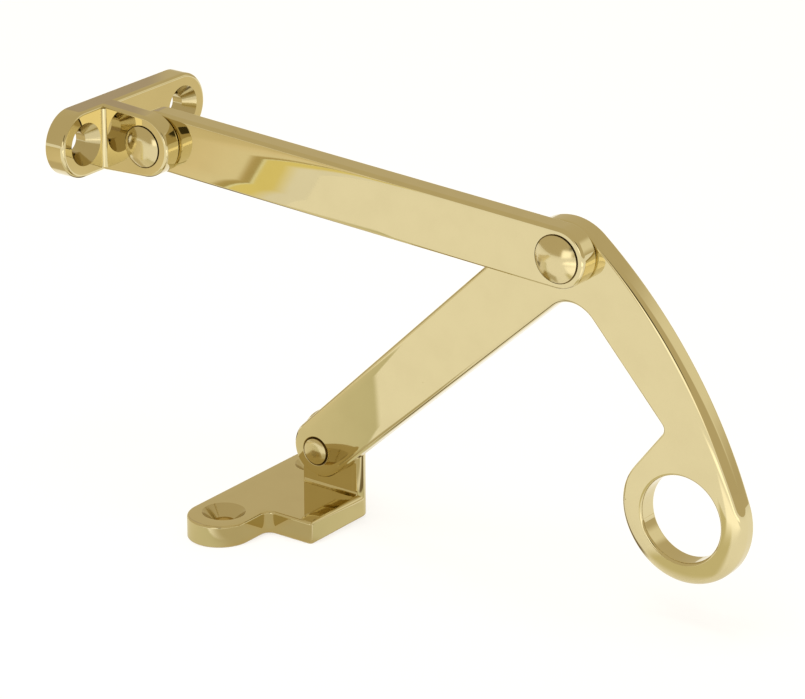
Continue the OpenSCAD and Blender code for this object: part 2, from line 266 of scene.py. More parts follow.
@dataclass(frozen=True)
class Hole:
    """Round hole through a slab: its middle, and its radius and depth from front to back."""

    middle: Point
    rings: tuple[Ring, ...]

    @classmethod
    def softened(cls, middle: Point, radius: float, thickness: float, front: Edge, back: Edge) -> "Hole":
        """Makes a straight hole with rounded rims.

        Args:
            middle: Middle of the hole in the outline's own axes.
            radius: Its radius.
            thickness: Thickness of the slab.
            front: Edge at the front face.
            back: Edge at the back face.

        Returns:
            The hole.
        """
        first = [(radius + inset, depth) for inset, depth in front.rings()]
        last = [(radius + inset, thickness - depth) for inset, depth in reversed(back.rings())]
        return cls(middle, tuple(first + last))


@dataclass
class Slab:
    """Flat piece with shaped edges, drawn as a closed outline that runs with the solid on its left."""

    outline: list[Stretch]
    lie: Lie
    face: float
    thickness: float
    back: Edge
    holes: list[Hole] = field(default_factory=list)
    turn: float = 0.0
    shift: tuple[float, float] = (0.0, 0.0)

    def edge_rows(self) -> tuple[list[list[Point]], list[list[float]]]:
        """Works out the points of the edge, row by row from the front face round to the back one.

        Returns:
            For each point of the outline, its places in the outline's axes, and their depths.
        """
        places, depths = [], []
        outward_before = self.outline[-1].at(1)[1]
        for stretch in self.outline:
            for step in range(stretch.count()):
                share = step / stretch.count()
                point, outward = stretch.at(share)
                mitre = outward if step else (outward + outward_before) / (1 + outward @ outward_before)
                edge = stretch.edge.blended(stretch.last_edge or stretch.edge, share)
                front, back = edge.rings(), list(reversed(self.back.rings()))
                places.append([point - inset * mitre for inset, _ in front + back])
                last = [self.thickness - depth for _, depth in back]
                depths.append([depth for _, depth in front] + last)
            outward_before = stretch.at(1)[1]
        return places, depths

    def placed(self, point: Point, depth: float) -> Vector:
        """Puts a point of the outline at its place in the frame, in metres.

        Args:
            point: Point in the outline's own axes.
            depth: How far it lies behind the face.

        Returns:
            The place in the frame.
        """
        along, across = unit(self.turn), unit(self.turn + 90)
        u, v = np.array(self.shift) + point[0] * along + point[1] * across
        axes = [np.array(axis, float) for axis in self.lie.value]
        return Vector((u * axes[0] + v * axes[1] + (self.face + depth) * axes[2]) * MM)

    def mesh(self, name: str) -> bpy.types.Mesh:
        """Builds the slab as a closed mesh.

        Args:
            name: Name of the mesh.

        Returns:
            The mesh, in metres in the frame.
        """
        loops = [self.edge_rows()]
        for hole in self.holes:
            turns = [unit(-360 * step / TURN_STEPS) for step in range(TURN_STEPS)]
            places = [[hole.middle + radius * way for radius, _ in hole.rings] for way in turns]
            loops.append((places, [[depth for _, depth in hole.rings]] * TURN_STEPS))
        points, faces = [], []
        caps = ([], [])
        for places, depths in loops:
            rows, start = len(places[0]), len(points)
            for column, column_depths in zip(places, depths):
                points.extend(self.placed(point, depth) for point, depth in zip(column, column_depths))
            for index in range(len(places)):
                here, there = start + index * rows, start + (index + 1) % len(places) * rows
                faces.extend((here + k, there + k, there + k + 1, here + k + 1) for k in range(rows - 1))
            caps[0].append([(start + i * rows, places[i][0]) for i in range(len(places))])
            caps[1].append([(start + (i + 1) * rows - 1, places[i][-1]) for i in range(len(places))])
        for cap in caps:
            indices = [index for loop in cap for index, _ in loop]
            flat = [[Vector((*point, 0)) for _, point in loop] for loop in cap]
            faces.extend(tuple(indices[k] for k in triple) for triple in tessellate_polygon(flat))
        return closed_mesh(name, points, faces)


def closed_mesh(name: str, points: list[Vector], faces: list[tuple[int, ...]]) -> bpy.types.Mesh:
    """Welds points and faces into a closed mesh whose faces point outwards.

    Args:
        name: Name of the mesh.
        points: Places in metres.
        faces: Indices of each face's points.

    Returns:
        The mesh.
    """
    mesh = bpy.data.meshes.new(name)
    mesh.from_pydata(points, [], faces)
    work = bmesh.new()
    work.from_mesh(mesh)
    bmesh.ops.remove_doubles(work, verts=work.verts, dist=WELD)
    bmesh.ops.dissolve_degenerate(work, dist=WELD, edges=work.edges)
    bmesh.ops.scale(work, vec=(1 / MM,) * 3, verts=work.verts)
    flats = {polygon for polygon in work.faces if len(polygon.verts) == 3}
    pairs = [edge for edge in work.edges if len(edge.link_faces) == 2]
    inner = [edge for edge in pairs if flats.issuperset(edge.link_faces)]
    bmesh.ops.beautify_fill(work, faces=list(flats), edges=inner, method="ANGLE")
    bmesh.ops.scale(work, vec=(MM,) * 3, verts=work.verts)
    bmesh.ops.recalc_face_normals(work, faces=work.faces)
    work.to_mesh(mesh)
    work.free()
    return mesh


def prism(name: str, outline: list[Point], axis: int, low: float, high: float) -> bpy.types.Mesh:
    """Builds a straight bar of one section.

    Args:
        name: Name of the mesh.
        outline: Points of the section, in the two axes after the bar's own in the order X, Y, Z, X, Y.
        axis: Axis along the bar, 0 for X, 1 for Y and 2 for Z.
        low: Where the bar starts along that axis.
        high: Where it ends.

    Returns:
        The mesh.
    """
    points = []
    for along in (low, high):
        for section in outline:
            place = np.zeros(3)
            place[axis] = along
            place[(axis + 1) % 3], place[(axis + 2) % 3] = section
            points.append(Vector(place * MM))
    count = len(outline)
    faces = [(k, (k + 1) % count, count + (k + 1) % count, count + k) for k in range(count)]
    faces += [tuple(range(count)), tuple(range(count, 2 * count))]
    return closed_mesh(name, points, faces)


def fillet_section(corner: Point, a: float, b: float, radius: float) -> list[Point]:
    """Draws the round that fills a square inside corner.

    Args:
        corner: The corner.
        a: Angle at which the first face runs off, in degrees.
        b: Angle at which the second one does, a quarter turn further.
        radius: Radius of the round.

    Returns:
        Points of the section, sunk into both faces.
    """
    inward = -(unit(a) + unit(b))
    middle = corner + radius * (unit(a) + unit(b)) + DIP * inward
    arc = [middle + radius * unit(turn) for turn in np.linspace(b + 180, a + 180, ROUND_STEPS + 1)]
    return arc + [arc[-1] + SINK * inward, corner + SINK * inward, arc[0] + SINK * inward]


def shown(name: str, mesh: bpy.types.Mesh) -> bpy.types.Object:
    """Puts a mesh in the scene as an object at the origin."""
    made = bpy.data.objects.new(name, mesh)
    bpy.context.scene.collection.objects.link(made)
    return made


def settled(made: bpy.types.Object) -> bpy.types.Object:
    """Turns an object's modifiers into a plain mesh and removes them.

    Args:
        made: Object with its modifiers.

    Returns:
        The same object with the mesh that they gave.
    """
    graph = bpy.context.evaluated_depsgraph_get()
    mesh = bpy.data.meshes.new_from_object(made.evaluated_get(graph))
    made.modifiers.clear()
    made.data = mesh
    return made


def joined(made: bpy.types.Object, mesh: bpy.types.Mesh, how: Join) -> bpy.types.Object:
    """Unites an object with another solid, cuts it away, or keeps what both share.

    Args:
        made: Object that is changed.
        mesh: The other solid.
        how: Which of the three.

    Returns:
        The changed object.
    """
    other = shown(mesh.name, mesh)
    step = made.modifiers.new(how.name, "BOOLEAN")
    step.operation = how.value
    step.solver = "EXACT"
    step.object = other
    settled(made)
    bpy.data.objects.remove(other)
    return made


def seat(made: bpy.types.Object, at: Point, face: float, head_d: float) -> bpy.types.Object:
    """Cuts the fine groove that a head leaves where it is set down on a front face, and paints shade into
    it.

    Args:
        made: Piece under the head.
        at: Middle of the rivet as X and Z.
        face: Where the front face lies on Y.
        head_d: Diameter of the head.

    Returns:
        The changed piece.
    """
    turns = np.linspace(0, 360, TURN_STEPS, endpoint=False)
    rim = [at[::-1] + (head_d / 2 + SEAT_GROOVE) * unit(turn) for turn in turns]
    joined(made, prism("seat", rim, 1, face - PAST, face + SEAT_GROOVE), Join.CUT)
    return painted_groove_shade(made, at, face, head_d / 2 + SEAT_GROOVE)


def painted_groove_shade(made: bpy.types.Object, at: Point, face: float, radius: float) -> bpy.types.Object:
    """Marks the faces of a groove or a sunk rim with painted shade, darker and duller.

    Args:
        made: Piece with the groove.
        at: Middle of the rivet as X and Z.
        face: Where the front face lies on Y.
        radius: Outer radius of the groove.

    Returns:
        The same piece.
    """
    marks = made.data.attributes.new(DULL_AND_SHADE, "FLOAT", "FACE")
    for polygon, mark in zip(made.data.polygons, marks.data):
        place = np.array(polygon.center) / MM
        inside = float(np.linalg.norm(place[[0, 2]] - at)) < radius + DIP
        mark.value = GROOVE_SHADE_AND_DULL if inside and place[1] > face + DIP else 0.0
    return made


class NormalPolisher:
    """Sets a mesh's normals so that flat faces mirror as flats and rounds run into them smoothly."""

    def __init__(self, mesh: bpy.types.Mesh) -> None:
        """Reads the faces of a mesh.

        Args:
            mesh: Mesh to polish.
        """
        self.mesh = mesh
        self.normals = np.array([face.normal for face in mesh.polygons])
        self.areas = np.array([face.area for face in mesh.polygons])
        self.flat = np.zeros(len(mesh.polygons), bool)
        self.around = defaultdict(list)
        for face in mesh.polygons:
            for corner in face.vertices:
                self.around[corner].append(face.index)

    def find_flats(self) -> None:
        """Marks the faces that lie in one wide plane."""
        planes = defaultdict(list)
        for face in self.mesh.polygons:
            turn = tuple(np.round(self.normals[face.index], 3) + 0.0)
            reach = round(float(face.normal @ face.center) / (10 * WELD))
            planes[turn, reach].append(face.index)
        for members in planes.values():
            if self.areas[members].sum() < FLAT_AREA:
                continue
            corners = sorted({corner for index in members for corner in self.mesh.polygons[index].vertices})
            spread = np.array([self.mesh.vertices[corner].co for corner in corners])
            spread -= spread.mean(axis=0)
            across = spread @ np.linalg.eigh(spread.T @ spread)[1][:, 1]
            if np.ptp(across) > FLAT_WIDTH:
                self.flat[members] = True

    def corner_normal(self, face: int, corner: int) -> Point:
        """Works out the normal of one corner of a face.

        Args:
            face: The face.
            corner: The corner's point.

        Returns:
            The normal.
        """
        if self.flat[face]:
            return self.normals[face]
        near = np.array(self.around[corner])
        alike = self.normals[near] @ self.normals[face]
        near, alike = near[alike > math.cos(CREASE)], alike[alike > math.cos(CREASE)]
        flats = self.flat[near]
        if flats.any():
            return self.normals[near[flats][np.argmax(alike[flats])]]
        mean = self.areas[near] @ self.normals[near]
        return mean / max(np.linalg.norm(mean), 1e-30)

    def apply(self) -> None:
        """Writes the normals to the mesh."""
        self.find_flats()
        self.mesh.shade_smooth()
        normals = []
        for face in self.mesh.polygons:
            normals.extend(self.corner_normal(face.index, corner) for corner in face.vertices)
        self.mesh.normals_split_custom_set(normals)


class Value:
    """A node's number with the operators that build Math nodes."""

    def __init__(self, graph: "Graph", socket: bpy.types.NodeSocket) -> None:
        """Wraps a socket.

        Args:
            graph: Tree that holds it.
            socket: Output of a node.
        """
        self.graph = graph
        self.socket = socket

    def math(self, operation: str, *others: "Value | float", first: bool = True) -> "Value":
        """Adds a Math node.

        Args:
            operation: What it does.
            others: The other numbers.
            first: Whether this value comes before them.

        Returns:
            Its result.
        """
        order = [self, *others] if first else [*others, self]
        node = self.graph.node("ShaderNodeMath", {"operation": operation}, dict(enumerate(order)))
        return Value(self.graph, node.outputs[0])

    def __add__(self, other: "Value | float") -> "Value":
        """Adds."""
        return self.math("ADD", other)

    def __sub__(self, other: "Value | float") -> "Value":
        """Takes away."""
        return self.math("SUBTRACT", other)

    def __rsub__(self, other: float) -> "Value":
        """Takes away from a number."""
        return self.math("SUBTRACT", other, first=False)

    def __mul__(self, other: "Value | float") -> "Value":
        """Multiplies."""
        return self.math("MULTIPLY", other)

    def __truediv__(self, other: "Value | float") -> "Value":
        """Divides."""
        return self.math("DIVIDE", other)

    def above(self, low: float, high: float) -> "Value":
        """Rises smoothly from 0 at the low mark to 1 at the high one.

        Args:
            low: Where it leaves 0.
            high: Where it reaches 1.

        Returns:
            The share.
        """
        node = self.graph.node(
            "ShaderNodeMapRange",
            {"interpolation_type": "SMOOTHSTEP"},
            {"Value": self, "From Min": low, "From Max": high},
        )
        return Value(self.graph, node.outputs["Result"])


class Graph:
    """Adds nodes to one tree."""

    def __init__(self, tree: bpy.types.NodeTree) -> None:
        """Starts on a tree.

        Args:
            tree: Tree to fill.
        """
        self.tree = tree

    def node(self, kind: str, settings: dict | None = None, sockets: dict | None = None) -> bpy.types.Node:
        """Adds one node.

        Args:
            kind: Its type.
            settings: Its own settings, set first.
            sockets: Values or links of its inputs, by name or number.

        Returns:
            The node.
        """
        made = self.tree.nodes.new(kind)
        for name, setting in (settings or {}).items():
            setattr(made, name, setting)
        for name, value in (sockets or {}).items():
            for link in value if isinstance(value, list) else [value]:
                self.feed(made.inputs[name], link)
        return made

    def feed(self, socket: bpy.types.NodeSocket, value: object) -> None:
        """Links a socket to another one, or sets its value.

        Args:
            socket: Input to feed.
            value: A wrapped value, an output, or a plain setting.
        """
        if isinstance(value, Value):
            self.tree.links.new(value.socket, socket)
        elif isinstance(value, bpy.types.NodeSocket):
            self.tree.links.new(value, socket)
        else:
            socket.default_value = value

    def value(self, kind: str, output: str, settings: dict, sockets: dict | None = None) -> Value:
        """Adds one node and wraps one of its outputs.

        Args:
            kind: The node's type.
            output: Name of the output.
            settings: The node's own settings.
            sockets: Values or links of its inputs.

        Returns:
            The output as a value.
        """
        return Value(self, self.node(kind, settings, sockets).outputs[output])

    def ramp(self, value: Value, tones: Tones) -> bpy.types.NodeSocket:
        """Runs a value through a row of colours.

        Args:
            value: Share from 0 to 1.
            tones: Places and colours of the stops, in order.

        Returns:
            The colour.
        """
        node = self.node("ShaderNodeValToRGB", {}, {"Fac": value})
        stops = node.color_ramp.elements
        stops.remove(stops[1])
        for index, (place, colour) in enumerate(tones):
            stop = stops.new(place) if index else stops[0]
            stop.position = place
            stop.color = (*colour, 1)
        return node.outputs["Color"]


@dataclass(frozen=True)
class Brass:
    """Polished brass with the slight waves, buffing marks and pits of a hand-finished casting."""

    name: str
    slot: str
    colour: Colour
    deep_colour: Colour
    roughness: float = 0.03
    dull_roughness: float = 0.5
    cloud_tint: float = 0.05
    cloud_range: tuple[float, float] = (0.35, 0.8)
    wave_mm: float = 14.0
    wave_lift_mm: float = 0.008
    buff_mm: float = 0.35
    buff_stretch: tuple[float, float, float] = (0.05, 1.0, 1.0)
    buff_lift_mm: float = 0.00008
    buff_dulling: float = 0.02
    pit_mm: float = 2.6
    pit_range: tuple[float, float] = (0.03, 0.07)
    pit_draw: tuple[float, float] = (0.9, 0.91)
    pit_depth_mm: float = 0.02
    pit_tint: float = 0.6
    pit_dulling: float = 0.3

    def material(self) -> bpy.types.Material:
        """Builds the material.

        Returns:
            The material.
        """
        made = bpy.data.materials.new(self.name)
        made.use_nodes = True
        graph = Graph(made.node_tree)
        made.node_tree.nodes.clear()
        place = graph.node("ShaderNodeTexCoord").outputs["Object"]
        waves = self.noise(graph, place, self.wave_mm, 1.0)
        cloud = self.noise(graph, place, self.wave_mm / 2, 3.0)
        stretched = graph.node("ShaderNodeMapping", {}, {"Vector": place, "Scale": self.buff_stretch})
        buffing = self.noise(graph, stretched.outputs["Vector"], self.buff_mm, 2.0)
        pits = self.pits(graph, place)
        # The attribute darkens and dulls the machined countersinks, and paints shade into the grooves round
        # the heads and the toe's sunk rim
        dull = graph.value("ShaderNodeAttribute", "Fac", {"attribute_name": DULL_AND_SHADE})
        tint = graph.node(
            "ShaderNodeMix",
            {"data_type": "RGBA"},
            {
                "Factor": cloud.above(*self.cloud_range) * self.cloud_tint + pits * self.pit_tint + dull,
                6: (*self.colour, 1),
                7: (*self.deep_colour, 1),
            },
        )
        lifts = waves * self.wave_lift_mm + buffing * self.buff_lift_mm - pits * self.pit_depth_mm
        height = lifts * MM
        dulling = (buffing - 0.5) * self.buff_dulling + pits * self.pit_dulling
        dulling = dulling + dull * (self.dull_roughness - self.roughness)
        bump = graph.node("ShaderNodeBump", {}, {"Strength": 1.0, "Distance": 1.0, "Height": height})
        shader = graph.node(
            "ShaderNodeBsdfPrincipled",
            {},
            {
                "Base Color": tint.outputs[2],
                "Metallic": 1.0,
                "Roughness": dulling + self.roughness,
                "Normal": bump.outputs["Normal"],
            },
        )
        graph.node("ShaderNodeOutputMaterial", {}, {"Surface": shader.outputs[0]})
        return made

    def noise(self, graph: Graph, place: bpy.types.NodeSocket, size_mm: float, detail: float) -> Value:
        """Adds a noise of one size.

        Args:
            graph: Tree of the material.
            place: Coordinates.
            size_mm: Size of its waves.
            detail: How many finer waves it holds.

        Returns:
            The noise from 0 to 1.
        """
        sockets = {"Vector": place, "Scale": 1 / (size_mm * MM), "Detail": detail, "Roughness": 0.5}
        return graph.value("ShaderNodeTexNoise", "Fac", {}, sockets)

    def pits(self, graph: Graph, place: bpy.types.NodeSocket) -> Value:
        """Adds sparse tiny casting pits.

        Args:
            graph: Tree of the material.
            place: Coordinates.

        Returns:
            1 in a pit and 0 elsewhere.
        """
        cells = graph.node("ShaderNodeTexVoronoi", {}, {"Vector": place, "Scale": 1 / (self.pit_mm * MM)})
        draw = graph.value("ShaderNodeSeparateColor", "Red", {}, {"Color": cells.outputs["Color"]})
        near = Value(graph, cells.outputs["Distance"])
        return (1 - near.above(*self.pit_range)) * draw.above(*self.pit_draw)


class GeometryTree(Graph):
    """A Geometry Nodes tree with named inputs."""

    def __init__(self, name: str, inputs: dict[str, str]) -> None:
        """Starts the tree.

        Args:
            name: Its name.
            inputs: Type of each named input.
        """
        super().__init__(bpy.data.node_groups.new(name, "GeometryNodeTree"))
        for label, kind in inputs.items():
            self.tree.interface.new_socket(label, in_out="INPUT", socket_type=kind)
        self.tree.interface.new_socket("Geometry", in_out="OUTPUT", socket_type="NodeSocketGeometry")
        self.inlet = self.node("NodeGroupInput")

    def given(self, label: str) -> Value:
        """Gives one of the named inputs."""
        return Value(self, self.inlet.outputs[label])

    def end(self, geometry: bpy.types.NodeSocket) -> None:
        """Realizes the geometry, gives it its finish and ends the tree.

        Args:
            geometry: What the tree has made.
        """
        real = self.node("GeometryNodeRealizeInstances", {}, {"Geometry": geometry})
        dressed = self.node(
            "GeometryNodeSetMaterial",
            {},
            {"Geometry": real.outputs[0], "Material": self.given("Finish")},
        )
        self.node("NodeGroupOutput", {}, {"Geometry": dressed.outputs[0]})

    def grow(self, made: bpy.types.Object, values: dict[str, object]) -> bpy.types.Object:
        """Runs the tree on an object and keeps the result as a plain mesh.

        Args:
            made: Object that the tree starts from.
            values: Values of the named inputs.

        Returns:
            The same object with its new mesh.
        """
        step = made.modifiers.new(self.tree.name, "NODES")
        step.node_group = self.tree
        for item in self.tree.interface.items_tree:
            if item.in_out == "INPUT" and item.name in values:
                step[item.identifier] = values[item.name]
        return settled(made)


class RivetTree(GeometryTree):
    """Turns out a domed rivet that points to the front, from the face under its head."""

    HEAD = ("Head Diameter", "Dome Height", "Rim", "Fullness", "Hammering")
    TAIL = ("Shank Diameter", "Grip", "Tail Diameter", "Tail Dome Height", "Tail Rim")
    FILL_STEPS = 14
    DENT_MM = 2.4

    def __init__(self) -> None:
        """Builds the tree."""
        sizes = dict.fromkeys(self.HEAD + self.TAIL, "NodeSocketFloat")
        sizes |= {"Place": "NodeSocketVector", "Finish": "NodeSocketMaterial"}
        super().__init__("domed_rivet", sizes)
        rim, grip = self.given("Rim"), self.given("Grip")
        head = self.dome(self.given("Head Diameter"), self.given("Dome Height"), rim)
        tail_rim = self.given("Tail Rim")
        tail = self.dome(self.given("Tail Diameter"), self.given("Tail Dome Height"), tail_rim)
        tail = self.moved(tail, 0 - grip, (math.pi, 0, 0))
        shank = self.node(
            "GeometryNodeMeshCylinder",
            {},
            {"Vertices": TURN_STEPS, "Radius": self.given("Shank Diameter") / 2, "Depth": grip + rim},
        )
        shank = self.moved(shank.outputs["Mesh"], 0 - grip / 2, (0, 0, 0))
        whole = self.node(
            "GeometryNodeMeshBoolean",
            {"operation": "UNION", "solver": "EXACT"},
            {"Mesh 2": [head, tail, shank]},
        )
        laid = self.node(
            "GeometryNodeTransform",
            {},
            {
                "Geometry": whole.outputs["Mesh"],
                "Translation": self.given("Place"),
                "Rotation": (math.pi / 2, 0, 0),
            },
        )
        self.end(laid.outputs[0])

    def moved(self, geometry: bpy.types.NodeSocket, lift: Value, turn: tuple) -> bpy.types.NodeSocket:
        """Moves geometry along the rivet.

        Args:
            geometry: What is moved.
            lift: How far.
            turn: How it is turned first.

        Returns:
            The moved geometry.
        """
        way = self.node("ShaderNodeCombineXYZ", {}, {"Z": lift})
        sockets = {"Geometry": geometry, "Translation": way.outputs[0], "Rotation": turn}
        return self.node("GeometryNodeTransform", {}, sockets).outputs[0]

    def dome(self, diameter: Value, height: Value, rim: Value) -> bpy.types.NodeSocket:
        """Makes a straight rim with a domed top, hammered a little.

        Args:
            diameter: Diameter of the rim.
            height: Height of the dome over the rim.
            rim: Height of the rim.

        Returns:
            The geometry, from its underside at 0.
        """
        disc = self.node(
            "GeometryNodeMeshCylinder",
            {},
            {
                "Vertices": TURN_STEPS,
                "Fill Segments": self.FILL_STEPS,
                "Radius": diameter / 2,
                "Depth": rim,
            },
        )
        at = self.node("GeometryNodeInputPosition").outputs[0]
        parts = self.node("ShaderNodeSeparateXYZ", {}, {0: at}).outputs
        x, y = Value(self, parts["X"]), Value(self, parts["Y"])
        out = x * x + y * y
        edge = diameter * diameter / 4
        lift = height * (1 - (out / edge).math("POWER", self.given("Fullness")))
        sockets = {"Vector": at, "Scale": 1 / (self.DENT_MM * MM), "Detail": 1.0}
        dents = self.value("ShaderNodeTexNoise", "Fac", {}, sockets)
        lift = lift - (1 - out / edge) * self.given("Hammering") * (dents - 0.5)
        raised = self.node("ShaderNodeCombineXYZ", {}, {"Z": lift})
        top = self.node(
            "GeometryNodeSetPosition",
            {},
            {
                "Geometry": disc.outputs["Mesh"],
                "Selection": disc.outputs["Top"],
                "Offset": raised.outputs[0],
            },
        )
        return self.moved(top.outputs[0], rim / 2, (0, 0, 0))


class ScrewHoleTree(GeometryTree):
    """Cuts a row of countersunk screw holes into the solid that it is given."""

    SIZES = ("Hole Diameter", "Countersink Diameter", "Countersink Depth", "Thickness")
    PLACES = ("First", "Step", "Turn")

    def __init__(self) -> None:
        """Builds the tree."""
        inputs = {"Geometry": "NodeSocketGeometry"} | dict.fromkeys(self.SIZES, "NodeSocketFloat")
        inputs |= dict.fromkeys(self.PLACES, "NodeSocketVector")
        super().__init__("screw_holes", inputs | {"Finish": "NodeSocketMaterial"})
        bore = self.given("Hole Diameter") / 2
        sink = self.given("Countersink Diameter") / 2
        depth, thickness = self.given("Countersink Depth"), self.given("Thickness")
        slope = (sink - bore) / depth
        drill = self.node(
            "GeometryNodeMeshCylinder",
            {},
            {"Vertices": TURN_STEPS, "Radius": bore, "Depth": (thickness + PAST * MM) * 2},
        )
        cone = self.node(
            "GeometryNodeMeshCone",
            {},
            {
                "Vertices": TURN_STEPS,
                "Radius Bottom": bore - slope * (DIP * MM),
                "Radius Top": sink + slope * (PAST * MM),
                "Depth": depth + (PAST + DIP) * MM,
            },
        )
        lift = self.node("ShaderNodeCombineXYZ", {}, {"Z": thickness - depth - DIP * MM})
        raised = self.node(
            "GeometryNodeTransform", {}, {"Geometry": cone.outputs["Mesh"], "Translation": lift.outputs[0]}
        )
        cutter = self.node(
            "GeometryNodeMeshBoolean",
            {"operation": "UNION", "solver": "EXACT"},
            {"Mesh 2": [drill.outputs["Mesh"], raised.outputs[0]]},
        )
        marked = self.node(
            "GeometryNodeStoreNamedAttribute",
            {"data_type": "FLOAT", "domain": "FACE"},
            {"Geometry": cutter.outputs["Mesh"], "Name": DULL_AND_SHADE, "Value": SINK_DULL},
        )
        row = self.node(
            "GeometryNodeMeshLine",
            {"mode": "OFFSET"},
            {"Count": 2, "Start Location": self.given("First"), "Offset": self.given("Step")},
        )
        cutters = self.node(
            "GeometryNodeInstanceOnPoints",
            {},
            {"Points": row.outputs[0], "Instance": marked.outputs[0], "Rotation": self.given("Turn")},
        )
        real = self.node("GeometryNodeRealizeInstances", {}, {"Geometry": cutters.outputs[0]})
        drilled = self.node(
            "GeometryNodeMeshBoolean",
            {"operation": "DIFFERENCE", "solver": "EXACT"},
            {"Mesh 1": self.given("Geometry"), "Mesh 2": real.outputs[0]},
        )
        self.end(drilled.outputs["Mesh"])


@dataclass(frozen=True)
class RivetHead:
    """Size of a rivet's front head.

    Its top is flatter where fullness is over 1, and sunk is how far its rim goes into the face.
    """

    diameter: float
    height: float
    hammering: float
    fullness: float = 1.0
    sunk: float = 0.0


# Heads of the three rivets
FRAME_HEAD = RivetHead(8.7, 1.3, 0.03, fullness=1.4)
ELBOW_HEAD = RivetHead(9.7, 1.8, 0.03)
FOOT_END = RivetHead(5.6, 0.6, 0.06, fullness=1.5, sunk=0.3)
# Holes that hold a shank and that turn on one, the gap between two faces at a joint, and shared edges
HELD_HOLE_R = 2.42
TURNING_HOLE_R = 2.45
JOINT_GAP = 0.15
HOLE_EDGE = Edge(0.05)
MOUNT_EDGE = Edge(0.12)


@dataclass
class Piece:
    """What every piece of the stay shares: its name, the body that it rides on, and its finish."""

    finish: Brass
    material: bpy.types.Material

    def dress(self, made: bpy.types.Object, node: str, body: str) -> bpy.types.Object:
        """Polishes a finished object, gives it its material and sets it on its body.

        Args:
            made: The object.
            node: Node of the frame that it replaces.
            body: Body that it rides on.

        Returns:
            The object.
        """
        made.name = node + "_polished"
        made.data.name = made.name
        made.data.materials.clear()
        made.data.materials.append(self.material)
        NormalPolisher(made.data).apply()
        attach(made, body)
        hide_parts(node)
        LOG.info("%s rides on %s with %d faces", made.name, body, len(made.data.polygons))
        return made


@dataclass
class ScrewHoles:
    """The countersunk screw holes of both plates."""

    tree: ScrewHoleTree
    countersink_d: float = 9.2
    countersink_angle: float = 90.0

    def drill(
        self, made: bpy.types.Object, mount_name: str, thickness: float, piece: Piece
    ) -> bpy.types.Object:
        """Cuts the two holes of a plate where its mount says.

        Args:
            made: The plate.
            mount_name: Name of its bolt pattern in the record.
            thickness: Thickness of the plate.
            piece: Piece whose finish the plate has.

        Returns:
            The drilled plate.
        """
        pattern = mount(mount_name)
        radius = pattern["dims"]["hole_r_mm"]
        gap = pattern["dims"].get("spacing_x_mm") or pattern["dims"].get("spacing_y_mm")
        middle, step = Vector(pattern["pos_m"]), Vector((0, gap * MM, 0))
        turn = Vector(pattern["axis"]).to_track_quat("Z", "Y").to_euler()
        depth = (self.countersink_d / 2 - radius) / math.tan(math.radians(self.countersink_angle / 2))
        values = {
            "Hole Diameter": 2 * radius * MM,
            "Countersink Diameter": self.countersink_d * MM,
            "Countersink Depth": depth * MM,
            "Thickness": thickness * MM,
            "First": middle - step / 2,
            "Step": step,
            "Turn": Vector(turn),
            "Finish": piece.material,
        }
        return self.tree.grow(made, values)


